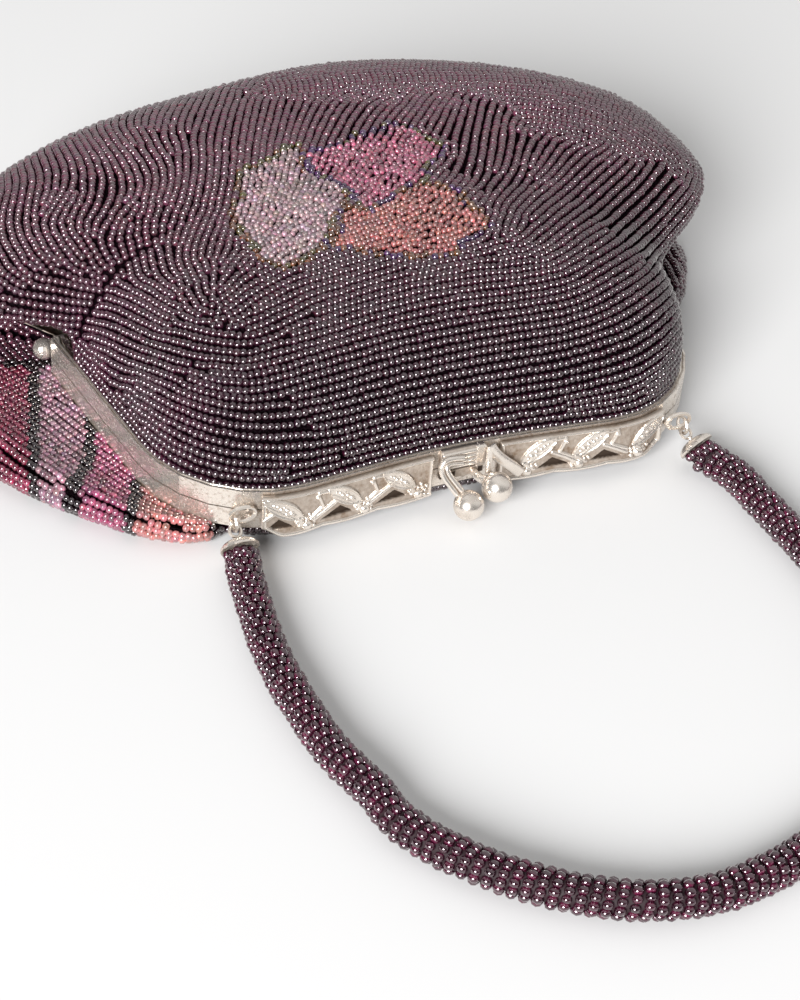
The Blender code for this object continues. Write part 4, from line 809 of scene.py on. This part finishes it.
def lay_rows(points, free, rows, insets, fine_leaves):
    """Rows of beads over a panel. Each row is followed bead by bead along the directions until it meets
    another row or the edge, and new rows start one row pitch beside those laid. Leaves named as fine get
    smaller beads. A bead is its place, normal, run and (row, whether it is in an edge row, size)."""
    tree, middles, normals = surface_tree(points)
    field = row_directions(middles, normals, rows)
    sizes = np.ones(len(middles))
    for outline in fine_leaves:
        sizes[inside(middles, outline)[0]] = FINE_BEAD_SHARE
    taken, beads = Cells(ROW_PITCH), []

    def blocked(p, row, space):
        return any(other != row and (q - p).length_squared < space for q, other in taken.around(p))

    def put(p, normal, run, row, face):
        taken.put(p, (p, row))
        beads.append((tuple(p), tuple(normal), tuple(run), (row, row <= len(insets), sizes[face])))

    row = 0
    for inset in insets:
        row += 1
        edge = edge_row(points, free, *inset)
        ahead = np.roll(edge, -1, axis=0) - np.roll(edge, 1, axis=0)
        for p, run in zip(edge, ahead):
            place, normal, face, _ = tree.find_nearest(Vector(p))
            put(place, normal, Vector(run).normalized(), row, face)
    queue = [Vector(place) for place in np.array(rows)[:, :3] / 1000]
    start_space, run_space = (START_ROOM * ROW_PITCH) ** 2, (RUN_ROOM * ROW_PITCH) ** 2
    for seed in queue:
        place, normal, face, away = tree.find_nearest(seed)
        if place is None or away > OFF_PANEL or blocked(place, -1, start_space * sizes[face] ** 2):
            continue
        row += 1
        laid = []
        for sign in (1, -1):
            here, up, run, size = place, normal, Vector(field[face]) * sign, sizes[face]
            if sign > 0:
                put(here, up, run, row, face)
                laid.append((here, up, run, size))
            for _ in range(LONGEST_ROW):
                new, new_up, new_face, away = tree.find_nearest(here + run * BEAD_PITCH * size)
                if new is None or away > OFF_STEP or (new - here).length < 0.6 * BEAD_PITCH * size:
                    break
                new_run = Vector(field[new_face])
                if new_run.dot(run) < 0:
                    new_run = -new_run
                size = sizes[new_face]
                if new_run.dot(run) < 0.6 or blocked(new, row, run_space * size ** 2):
                    break
                here, up, run = new, new_up, new_run
                put(here, up, run, row, new_face)
                laid.append((here, up, run, size))
        for here, up, run, size in laid[::2]:
            beside = up.cross(run).normalized() * ROW_PITCH * size
            queue += [here + beside, here - beside]
    beads = evened(np.array(beads), tree)
    return spread(filled(loosened(filled(beads, tree)), tree), tree)


def neighbours(beads, count):
    """The nearest other beads of each bead."""
    near = KDTree(len(beads))
    for k, place in enumerate(beads[:, 0]):
        near.insert(place, k)
    near.balance()
    return near, np.array([[hit[1] for hit in near.find_n(place, count + 1)[1:]] for place in beads[:, 0]])


def sideways(beads):
    """The unit direction across each bead's row."""
    return unit(np.cross(beads[:, 1], beads[:, 2]))


def laid_back(beads, tree, place):
    """The beads at new places, put back on to the panel."""
    found = [tree.find_nearest(Vector(p)) for p in place]
    beads[:, 0] = [tuple(hit[0]) for hit in found]
    beads[:, 1] = [tuple(hit[1]) for hit in found]
    return beads


def evened(beads, tree):
    """The rows shared out evenly: each bead moves sideways towards the middle between the rows beside it,
    with the beads next to it in its row, and back on to the panel. Edge rows stay."""
    beside = neighbours(beads, 16)[1]
    place, run, lateral = beads[:, 0].copy(), beads[:, 2], sideways(beads)
    pitch = (ROW_PITCH * beads[:, 3, 2])[:, None]
    same_row = beads[beside, 3, 0] == beads[:, 3, 0][:, None]
    loose = beads[:, 3, 1] < 0.5
    signs = np.sign(np.einsum("nkj,nj->nk", lateral[beside], lateral))
    for _ in range(EVENING_ROUNDS):
        apart = place[beside] - place[:, None]
        across = np.einsum("nkj,nj->nk", apart, lateral)
        along = np.abs(np.einsum("nkj,nj->nk", apart, run))
        level = (along < LEVEL_REACH * BEAD_PITCH) & ~same_row
        above = np.where(level & (across > 0), across, OPEN_SIDE * pitch).min(axis=1)
        below = np.where(level & (across < 0), across, -OPEN_SIDE * pitch).max(axis=1)
        move = np.clip(0.5 * (above + below), -EVENING_STEP, EVENING_STEP)
        weight = 1.0 * (same_row & (along < TOGETHER_REACH * BEAD_PITCH))
        for _ in range(2):
            move = (move + (weight * signs * move[beside]).sum(axis=1)) / (1 + weight.sum(axis=1))
        place = place + lateral * (EVENING_PACE * move * loose)[:, None]
    return laid_back(beads, tree, place)


def filled(beads, tree):
    """Single beads put into the gaps that rows leave: at the places beside, before and after every bead
    where no other bead lies within GAP_SHARE of a bead's own room."""
    near = neighbours(beads, 1)[0]
    lateral = sideways(beads)
    added, extra = [], Cells(ROW_PITCH)
    for side, (place, normal, run, (_, edge, size)) in zip(lateral, beads):
        if edge:
            continue
        long, wide = BEAD_PITCH * size, ROW_PITCH * size
        for offset in (side * wide, -side * wide, run * long, -run * long,
                       0.5 * run * long + side * wide, -0.5 * run * long - side * wide):
            new, up, _, away = tree.find_nearest(Vector(place + offset))
            if new is None or away > OFF_PANEL:
                continue
            spot = np.array(new)
            around = [beads[hit[1], 0] for hit in near.find_range(new, wide)] + list(extra.around(spot))
            gaps = np.array(around).reshape(-1, 3) - spot
            if len(gaps) and np.min(np.hypot(gaps @ run / long, gaps @ side / wide)) < GAP_SHARE:
                continue
            extra.put(spot, spot)
            added.append((tuple(new), tuple(up), tuple(run), (-len(added) - 1, 0, size)))
    return np.concatenate([beads, np.array(added).reshape(-1, 4, 3)])


def loosened(beads):
    """The fine beads of a leaf turned and shifted by chance, so that they lie less in rows."""
    fine = (beads[:, 3, 2] < 1)[:, None]
    lateral = sideways(beads)
    turn = CHANCE.normal(0, LOOSE_TURN, (len(beads), 1)) * fine
    shift = CHANCE.normal(0, LOOSE_SHIFT, (len(beads), 2)) * fine
    beads[:, 0] += beads[:, 2] * shift[:, :1] + lateral * shift[:, 1:]
    beads[:, 2] = beads[:, 2] * np.cos(turn) + lateral * np.sin(turn)
    return beads


def spread(beads, tree):
    """Crowded beads pushed apart along and across their rows: by (1 - d) where d, the distance in units of a
    bead's own room, is under 1. Edge rows stay."""
    beside = neighbours(beads, 12)[1]
    place, run, lateral = beads[:, 0].copy(), beads[:, 2], sideways(beads)
    long, wide = BEAD_PITCH * beads[:, 3, 2], ROW_PITCH * beads[:, 3, 2]
    loose = beads[:, 3, 1] < 0.5
    for _ in range(SPREADING_ROUNDS):
        apart = place[beside] - place[:, None]
        along = np.einsum("nkj,nj->nk", apart, run) / long[:, None]
        across = np.einsum("nkj,nj->nk", apart, lateral) / wide[:, None]
        distance = np.maximum(np.hypot(along, across), 0.05)
        push = np.clip(1 - distance, 0, 1) / distance
        ahead = np.clip((push * along).sum(axis=1) * long, -SPREADING_STEP, SPREADING_STEP)
        aside = np.clip((push * across).sum(axis=1) * wide, -SPREADING_STEP, SPREADING_STEP)
        place = place - (run * ahead[:, None] + lateral * aside[:, None]) * (SPREADING_PACE * loose)[:, None]
    return laid_back(beads, tree, place)


def inside(places, outline):
    """Which places lie inside a closed outline, and how far each is from it."""
    shape = np.array(outline) / 1000
    a, b = shape, np.roll(shape, -1, axis=0)
    x, y = places[:, 0:1], places[:, 1:2]
    crosses = (a[None, :, 1] > y) != (b[None, :, 1] > y)
    rise = np.where(b[:, 1] == a[:, 1], 1e-12, b[:, 1] - a[:, 1])
    at = a[None, :, 0] + (y - a[None, :, 1]) / rise * (b - a)[None, :, 0]
    within = (np.sum(crosses & (x < at), axis=1) % 2) == 1
    edge = b - a
    t = np.clip(np.sum((places[:, None, :2] - a) * edge, axis=2) / np.sum(edge * edge, axis=1), 0, 1)
    gap = np.linalg.norm(places[:, None, :2] - (a + t[..., None] * edge), axis=2).min(axis=1)
    return within, gap


def field_colours(places):
    """Plum near the frame, mauve towards the crown and the far side, wine near the left hinge."""
    far = ease((places[:, 1] + 0.062) / 0.085) * 0.75 + ease((places[:, 2] - 0.028) / 0.022) * 0.25
    near_hinge, low = (ease(1 - np.linalg.norm(places - place, axis=1) / reach) for place, reach in WINE_FIELDS)
    colours = PLUM + (MAUVE - PLUM) * far[:, None]
    return colours + (WINE - colours) * np.maximum(near_hinge, 0.8 * low)[:, None]


def painted(places, motif, border):
    """Each bead's colour: its field, its leaf or the single outline beads, with a little chance in each."""
    colours = field_colours(places)
    count = len(places)
    for outline, leaf, edge in motif:
        within, gap = inside(places, outline)
        speck = CHANCE.random(count)
        fill = np.array(leaf)[None] * (0.75 + 0.5 * CHANCE.random((count, 1)))
        fill = np.where((speck < SPECK_SHARE)[:, None], fill * 0.55, fill)
        colours = np.where(within[:, None], fill, colours)
        pick = np.array(edge)[CHANCE.integers(0, len(edge), count)]
        colours = np.where((gap < border)[:, None], pick, colours)
    tone = CHANCE.normal(1, TONE_SPREAD, (count, 1)).clip(0.55, 1.6)
    tint = CHANCE.normal(1, TINT_SPREAD, (count, 3)).clip(0.8, 1.2)
    return colours * tone * tint


def bead_pieces(name, beads, colours, material, body, part_count, shape):
    """Beads at their places, BEAD_DEPTH below the panel's outer face, parted by their x into several pieces."""
    place, normal, run = beads[:, 0], beads[:, 1], beads[:, 2]
    outward = normal * np.sign(np.sum(normal * (place - POUCH_MIDDLE), axis=1, keepdims=True))
    run = unit(run - outward * np.sum(run * outward, axis=1, keepdims=True))
    lateral = np.cross(outward, run)
    count = len(place)
    half = np.array([BEAD_PITCH * 0.53, BEAD_WIDTH / 2, BEAD_WIDTH / 2]) * CHANCE.normal(1, SIZE_SPREAD, (count, 3))
    half *= beads[:, 3, 2:]
    run = unit(run + lateral * CHANCE.normal(0, TURN_SPREAD, (count, 1)))
    lateral = np.cross(outward, run)
    frames = np.stack([run, lateral, outward], axis=-1) * half[:, None, :]
    stray = CHANCE.normal(0, PLACE_SPREAD, (count, 2))
    centre = place - outward * (BEAD_DEPTH + stray[:, :1]) + lateral * stray[:, 1:]
    order = np.argsort(place[:, 0], kind="stable")
    template, faces = barrel(*shape)
    for k, part in enumerate(np.array_split(order, part_count)):
        points, groups = repeated(template, faces, centre[part], frames[part])
        item = mesh_piece(f"{name}_{k + 1}", points, groups, material, body, "plum_beads")
        colour_points(item, "bead_colour", painted_end_glints(colours[part], template, BEAD_END_GLINT))


def pouch(glass, net, lining):
    """Both panels: the net ground, the satin inside and the rows of beads outside."""
    front, back = front_points(), back_points()
    for name, points, side, depths, material, body, slot, nodes in (
            ("front_net", front, 1, NET_DEPTHS, net, "both halves", "plum_beads",
             ("pouch_front_upper", "pouch_front_fold", "pouch_front_lower")),
            ("back_net", back, -1, NET_DEPTHS, net, "back_half", "plum_beads", ("pouch_back_panel",)),
            ("front_lining", front_points(0, 24), 1, LINING_DEPTHS, lining, "both halves", "satin_lining",
             ("lining_front_upper", "lining_front_fold", "lining_front_lower")),
            ("back_lining", back_points(0, 10, 8), -1, LINING_DEPTHS, lining, "back_half", "satin_lining",
             ("lining_back_panel",))):
        mesh_piece(name, *shell(points, side, *depths), material, body, slot, *nodes)
    beads = lay_rows(front, pouch_edge(1)[3], FRONT_ROWS, FRONT_INSETS, [leaf[0] for leaf in FRONT_MOTIF])
    colours = painted(beads[:, 0], FRONT_MOTIF, FRONT_OUTLINE)
    bead_pieces("front_beads", beads, colours, glass, "both halves", 5, ROUND_BEAD)
    beads = lay_rows(back, pouch_edge(-1)[3], BACK_ROWS, BACK_INSETS, ())
    colours = painted(beads[:, 0], BACK_MOTIF, BACK_OUTLINE)
    bead_pieces("back_beads", beads, colours, glass, "back_half", 4, PLAIN_BEAD)


# ---- openwork bands ----

BAND_CENTRE = 0.0015
BAND_LOW, BAND_HIGH = 0.0085, 0.0498
BAND_FACE, BAND_BACK = 0.0026, 0.0016
LEAF_PLACES = {-1: (17.1, 30.8, 45.2), 1: (17.8, 30.8, 45.6)}
LOWER_SHIFT = {-1: 0.0, 1: 2.8}
BAND_COLUMNS, BAND_ROWS, BAND_TOP = 380, 96, 15.4
# The relief's lines in mm, along the bar from its middle and up from the table; a border is a run from one
# place to another, its width and its height
BORDERS = (((8.5, 15.1), (49.8, 15.1), 0.42, 0.34), ((8.9, 4.2), (8.9, 15.0), 0.38, 0.30),
           ((49.5, 6.0), (49.5, 15.0), 0.38, 0.30))
WINDOW_FOOT, WINDOW_END, STEM_END = 6.1, 49.0, 49.3
LEAF_LEAN, LEAF_Z, LEAF_LENGTH, LEAF_WIDTH = math.radians(36.0), 11.7, 5.2, 2.20
# Grains on a leaf: share of GRAIN_REACH along it, mm across it, and radius
GRAIN_REACH = 4.9
GRAINS = ((-0.42, 0.05, 0.62), (-0.12, 0.25, 0.50), (0.14, -0.12, 0.44), (0.36, 0.12, 0.38),
          (-0.62, -0.10, 0.36), (0.56, 0.0, 0.30), (-0.22, -0.62, 0.30), (0.10, 0.68, 0.28))
# Stems: places along from a leaf's middle, their share of the lower shift and their height; and a width
STEMS = ((((7.6, 0.6, 7.3), (4.9, 0.6, 9.0), (2.4, 0.4, 10.6)), 0.62),
         (((7.8, 0.6, 8.2), (5.4, 0, 10.3), (6.5, 0, 13.2)), 0.42),
         (((3.2, 0, 14.0), (6.2, 0, 14.3)), 0.42),
         (((-3.4, 0, 8.6), (-3.9, 1, 6.6)), 0.55))
BERRIES, BERRY_RADIUS = ((6.5, 14.2), (6.8, 13.1)), 0.55
# The round flower: its place beside a leaf, and the turn and reach of its petals
FLOWER = (-5.2, 6.2)
PETAL_TURNS = np.radians([10, 48, 86, 124, 162, 200, 28, 66, 104, 142])
PETAL_REACHES = np.array([1.75] * 6 + [2.60] * 4)


def ridge(s, z, route, width, height):
    """A rounded ridge along a route of straight runs: height x sqrt(1 - (distance / width)^2)."""
    best = np.full(s.shape, 9.0)
    for (a, b), (c, d) in zip(route[:-1], route[1:]):
        run = (c - a) ** 2 + (d - b) ** 2
        t = np.clip(((s - a) * (c - a) + (z - b) * (d - b)) / run, 0, 1)
        best = np.minimum(best, np.hypot(s - a - t * (c - a), z - b - t * (d - b)))
    return height * np.sqrt(np.clip(1 - (best / width) ** 2, 0, 1))


def dome(s, z, a, b, radius, height):
    """A round grain: height x sqrt(1 - (distance / radius)^2)."""
    return height * np.sqrt(np.clip(1 - ((s - a) ** 2 + (z - b) ** 2) / radius ** 2, 0, 1))


def leaf_relief(s, z, c):
    """A pointed leaf that leans over, with a raised rim, a vein and round grains."""
    along, across = math.cos(LEAF_LEAN), math.sin(LEAF_LEAN)
    u = ((s - c) * along + (z - LEAF_Z) * across) / LEAF_LENGTH
    v = (z - LEAF_Z) * along - (s - c) * across
    t = np.abs(v) / np.maximum(LEAF_WIDTH * np.clip(1 - u * u, 0, 1) ** 0.80, 1e-6)
    inside_leaf = (t < 1) & (np.abs(u) < 1)
    leaf = 0.30 + 0.34 * np.exp(-((t - 0.86) / 0.13) ** 2) + 0.20 * np.exp(-((v + 0.95) / 0.16) ** 2)
    parts = [np.where(inside_leaf, leaf, 0)]
    for du, dv, r in GRAINS:
        a = c + du * GRAIN_REACH * along - dv * across
        b = LEAF_Z + du * GRAIN_REACH * across + dv * along
        parts.append(np.where(inside_leaf, 0.30, 0) + dome(s, z, a, b, r, r * 0.85))
    return np.max(parts, axis=0)


def band_relief(s, z, low_edge, hand):
    """Height of the band's face (mm) at a way from the middle and a height: a stippled ground, cut windows,
    and on it borders, pointed leaves with grains, forked stems, and berries round a flower."""
    ground = 0.05 * np.sin(s * 9.1 + 2 * np.sin(z * 5.0)) * np.sin(z * 8.3 + 1.7 * np.sin(s * 4.3))
    parts = [0.34 * np.sqrt(np.clip(1 - ((z - low_edge - 0.55) / 0.55) ** 2, 0, 1))]
    parts += [ridge(s, z, (start, end), width, rise) for start, end, width, rise in BORDERS]
    cut = np.zeros(s.shape)
    shift = LOWER_SHIFT[hand]
    for c in LEAF_PLACES[hand]:
        a, top, b = c - 2.8 + shift, c + 1.0 + shift, min(c + 6.2 + shift, WINDOW_END)
        side = np.minimum((s - a) / (top - a), (b - s) / max(b - top, 0.3)) * 2.9
        gap = np.minimum(side - (z - WINDOW_FOOT), z - WINDOW_FOOT)
        cut = np.maximum(cut, ease(gap / 0.30))
        parts.append(leaf_relief(s, z, c))
        for route, width in STEMS:
            route = [(min(c + p + shift * share, STEM_END), q) for p, share, q in route]
            parts.append(ridge(s, z, route, width, width * 0.95))
        parts += [dome(s, z, c + p, q, BERRY_RADIUS, BERRY_RADIUS) for p, q in BERRIES if c + p < WINDOW_END]
        a, b = c + FLOWER[0] + shift, FLOWER[1]
        parts.append(dome(s, z, a, b, 1.20, 1.15))
        parts += [dome(s, z, p, q, 0.48, 0.52) for p, q in zip(a + PETAL_REACHES * np.cos(PETAL_TURNS),
                                                               b + PETAL_REACHES * np.sin(PETAL_TURNS))]
    raised = np.max(parts, axis=0)
    height = np.where(raised > 0.02, raised, ground - 0.10)
    return np.where(raised > 0.12, height, height * (1 - cut) - 0.85 * cut)


def relief_piece(name, s, z, height, hand, face, back, material, node):
    """A sheet with a relief (mm) bent along the bar, closed at its edges and back; it carries its hollows as an
    attribute that the metal paints as shade: darker where sunk, near black in the windows.
    """
    edge = np.full((len(s), 1), back)
    full_n = np.concatenate([edge, face + height / 1000, edge], axis=1)
    s, z, depth = (np.concatenate([v[:, :1], v, v[:, -1:]], axis=1) for v in (s, z, height))
    x, y = rim(BAND_CENTRE + hand * (s / 1000), full_n)
    faces = [f[:, ::hand] for f in tube_faces(*x.shape)]
    item = mesh_piece(name, np.stack([x, y, z / 1000], axis=-1).reshape(-1, 3), faces, material, "front_half",
                      "silvered_metal", node)
    depth = depth.reshape(-1, 1)
    # Painted shade, with tarnish: how sunk each point is, and whether it lies in a window, darken its colour in the
    # metal
    sunk, window = 1 - ease((depth + 0.12) / 0.42), ease((-0.30 - depth) / 0.30)
    colour_points(item, "hollow_shade", np.concatenate([sunk, window, 0 * depth], axis=1))


def band(hand, material):
    """One openwork band."""
    s = np.linspace(BAND_LOW * 1000, BAND_HIGH * 1000, BAND_COLUMNS)[:, None]
    share = (s - s[0]) / (s[-1] - s[0])
    low = 4.4 - 0.6 * np.abs(np.sin(3 * math.pi * share)) + 2.2 * ease((share - 0.88) / 0.12)
    t = np.linspace(0, 1, BAND_ROWS)[None, :]
    z = low + (BAND_TOP - low) * t
    s = np.broadcast_to(s, z.shape)
    height = band_relief(s, z, np.broadcast_to(low, z.shape), hand)
    height = height * ease(np.minimum(np.minimum(t * BAND_ROWS, (1 - t) * BAND_ROWS) / 3, 1) * np.ones_like(s))
    side = "left" if hand < 0 else "right"
    relief_piece("openwork_band_" + side, s, z, height, hand, BAND_FACE, BAND_BACK, material, "filigree_" + side)


# ---- the kiss lock ----

FRONT_BALL, BACK_BALL = (-0.75, -84.6, 5.5), (6.45, -83.8, 8.4)
BALL_RADIUS = 3.58
RIB_HEIGHTS = (15.35, 14.15, 12.95, 11.80)
PLATE_FACE, PLATE_BACK = 0.0028, 0.0012
# Routes of the bent arms and the bracket beside the plate (mm)
FRONT_ARM = ((-0.2, -78.5, 13.9), (-3.9, -78.6, 14.6), (-5.2, -78.8, 13.6), (-4.9, -79.6, 11.6),
             (-2.8, -81.6, 8.6), (-1.5, -83.3, 6.6))
BACK_ARM = ((3.3, -76.9, 8.9), (3.6, -79.6, 8.9), (4.6, -81.6, 8.8), (6.2, -83.2, 8.5))
NEAR_BRACKET = ((6.6, -78.3, 16.0), (6.3, -78.9, 13.0), (6.1, -79.6, 9.6))
FAR_BRACKET = ((6.6, -78.3, 16.0), (8.2, -78.9, 13.4), (11.6, -79.5, 10.4), (14.6, -79.3, 7.2))


def ribbed_plate(material):
    """The plate between the bands: four ribs, a sunk line under them that the metal darkens as painted shade, and a
    sunk lower tongue.
    """
    s = np.broadcast_to(np.linspace(-6.4, 4.4, 130)[:, None], (130, 90))
    z = np.broadcast_to(np.linspace(8.2, 16.1, 90)[None, :], s.shape)
    ribs = [ridge(s, z, [(-6.3, k), (1.6, k)], 0.52, 0.60) for k in RIB_HEIGHTS]
    height = np.maximum(np.max(ribs, axis=0), np.where(s > 2.1, 0.42, 0.0) * np.where(z > 11.2, 1, 0))
    line = ease((0.36 - np.abs(z - 10.75)) / 0.14) * ease((2.6 - s) / 0.3)
    tongue = ease((10.3 - z) / 0.25)
    height = height - 0.55 * line - tongue * np.where((s > -2.6) & (s < 3.0), 0.25, 0.6)
    relief_piece("ribbed_plate", s, z, height, 1, PLATE_FACE, PLATE_BACK, material, "clasp_plate")


def bent_bar(name, route, offset, wide, thick, material, body, *nodes):
    """A bar bent through the corners of a route (mm): each corner is cut at a quarter and three quarters of
    its runs, three times over. Its wide side lies in the x-z plane, moved over sideways by an offset."""
    path = np.array(route) / 1000
    for _ in range(3):
        near, far = 0.75 * path[:-1] + 0.25 * path[1:], 0.25 * path[:-1] + 0.75 * path[1:]
        path = np.vstack([path[:1], np.stack([near, far], axis=1).reshape(-1, 3), path[-1:]])
    _, side, up = frames_along(np.gradient(path, axis=0), (0, 1.0, 0))
    points, faces = swept(path + side * offset / 1000, side, up, wide / 1000, thick / 1000, 18)
    mesh_piece(name, points, faces, material, body, "silvered_metal", *nodes)


def ball(name, centre, material, body, node):
    """A smooth ball: rings of 40 points at radius x sin(t) and height -radius x cos(t)."""
    t = np.linspace(0.05, math.pi - 0.05, 28)
    points, faces = barrel(40, -np.cos(t), np.sin(t))
    mesh_piece(name, (points * BALL_RADIUS + centre) / 1000, faces, material, body, "silvered_metal", node)


def kiss_lock(metal, embossed):
    """The two crossed balls on their bent arms, the plate and the bracket beside it."""
    ribbed_plate(embossed)
    ball("front_ball", FRONT_BALL, metal, "front_half", "front_clasp_ball")
    ball("back_ball", BACK_BALL, metal, "back_half", "back_clasp_ball")
    bent_bar("front_arm_outer", FRONT_ARM, -0.66, 0.70, 0.80, metal, "front_half", "front_clasp_arm")
    bent_bar("front_arm_inner", FRONT_ARM, 0.66, 0.70, 0.80, metal, "front_half")
    bent_bar("back_arm", BACK_ARM, 0, 1.1, 0.95, metal, "back_half", "back_clasp_arm")
    bent_bar("bracket_near", NEAR_BRACKET, 0, 0.80, 0.60, metal, "front_half")
    bent_bar("bracket_far", FAR_BRACKET, 0, 1.35, 0.60, metal, "front_half")


# ---- floor and light ----

FLOOR_RADIUS, FLOOR_Z, FLOOR_SIDES = 1.6, -0.0001, 64
# The floor's colours as the camera and as other rays see it, and the world's strengths
FLOOR_SEEN, FLOOR_OTHER = ((0.757, 0.757, 0.759), (0.767, 0.767, 0.769)), (0.72, 0.71, 0.70)
WORLD_COLOUR, WORLD_SEEN, WORLD_DARK, WORLD_RISE = (1.0, 0.992, 0.98, 1), 0.93, 0.04, 0.60
WORLD_BRIGHT_WAY = (0.55, 0.36, 0.75)
KEY_WAY, KEY_DISTANCE, KEY_SIZE, KEY_POWER = (-0.66, -0.70, 0.42), 3.0, 1.6, 175.0
LOOKED_AT = (0, -0.02, 0.02)


def stage():
    """A wide pale floor that keeps the shadow, and a pale world that metal and glass see too."""
    index = np.arange(FLOOR_SIDES)
    angle = index * 2 * math.pi / FLOOR_SIDES
    ring = np.stack([FLOOR_RADIUS * np.cos(angle), FLOOR_RADIUS * np.sin(angle), 0 * angle + FLOOR_Z], axis=-1)
    points = np.vstack([ring, [(0, 0, FLOOR_Z)]])
    faces = np.stack([index, np.roll(index, -1), np.full(FLOOR_SIDES, FLOOR_SIDES)], axis=-1)
    data = bpy.data.meshes.new("floor")
    data.from_pydata(points.tolist(), [], faces.tolist())
    material, place, feed = finish("pale_floor", Roughness=0.9, Specular_IOR_Level=0.0)
    eye = Wire(place.tree, place.tree.nodes.new("ShaderNodeLightPath").outputs["Is Camera Ray"])
    feed("Base Color", eye.mixed(FLOOR_OTHER, noise(place, 8.0).mixed(*FLOOR_SEEN)))
    data.materials.append(material)
    floor = bpy.data.objects.new("floor", data)
    bpy.context.collection.objects.link(floor)

    world = bpy.data.worlds.new("studio")
    bpy.context.scene.world = world
    world.use_nodes = True
    tree = world.node_tree
    light = Wire(tree, tree.nodes.new("ShaderNodeLightPath").outputs["Is Camera Ray"])
    seen = light.maths("MAXIMUM", light, light.out("Is Transmission Ray"))
    ahead = Wire(tree, tree.nodes.new("ShaderNodeTexCoord").outputs["Generated"])
    toward = ahead.node("ShaderNodeVectorMath", {"operation": "DOT_PRODUCT"}, i0=ahead, i1=WORLD_BRIGHT_WAY)
    low = WORLD_DARK + toward.out("Value").between(0.00, 0.65) * WORLD_RISE
    background = tree.nodes["Background"]
    background.inputs["Color"].default_value = WORLD_COLOUR
    tree.links.new((low + seen * (WORLD_SEEN - low)).socket, background.inputs["Strength"])


def lamp():
    """A soft round lamp that looks at the purse from the upper left."""
    data = bpy.data.lights.new("key", "AREA")
    data.shape, data.size, data.energy = "DISK", KEY_SIZE, KEY_POWER
    item = bpy.data.objects.new("key", data)
    bpy.context.collection.objects.link(item)
    toward = Vector(KEY_WAY).normalized()
    item.location = Vector(LOOKED_AT) + toward * KEY_DISTANCE
    item.rotation_euler = toward.to_track_quat("Z", "Y").to_euler()


def build():
    """The whole scene."""
    camera()
    metal, net, lining = silvered_metal("silvered_metal"), net_cloth(), satin()
    rope(core_cloth(), rope_glass())
    pouch(bead_glass(), net, lining)
    binding, frame_metal = paper_cord(), silvered_metal("frame_metal", streaked=True)
    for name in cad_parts:
        item = bpy.data.objects.get(name)
        if item is None or item.type != "MESH":
            continue
        finish_of = binding if name.endswith("binding") else frame_metal if name.endswith("frame") else metal
        if not item.material_slots:
            item.data.materials.append(finish_of)
        for place in item.material_slots:
            place.material = finish_of
    embossed = silvered_metal("embossed_metal", True)
    for hand in (-1, 1):
        band(hand, embossed)
    kiss_lock(metal, embossed)
    stage()
    lamp()
    bpy.context.scene.view_settings.view_transform = "Standard"


build()
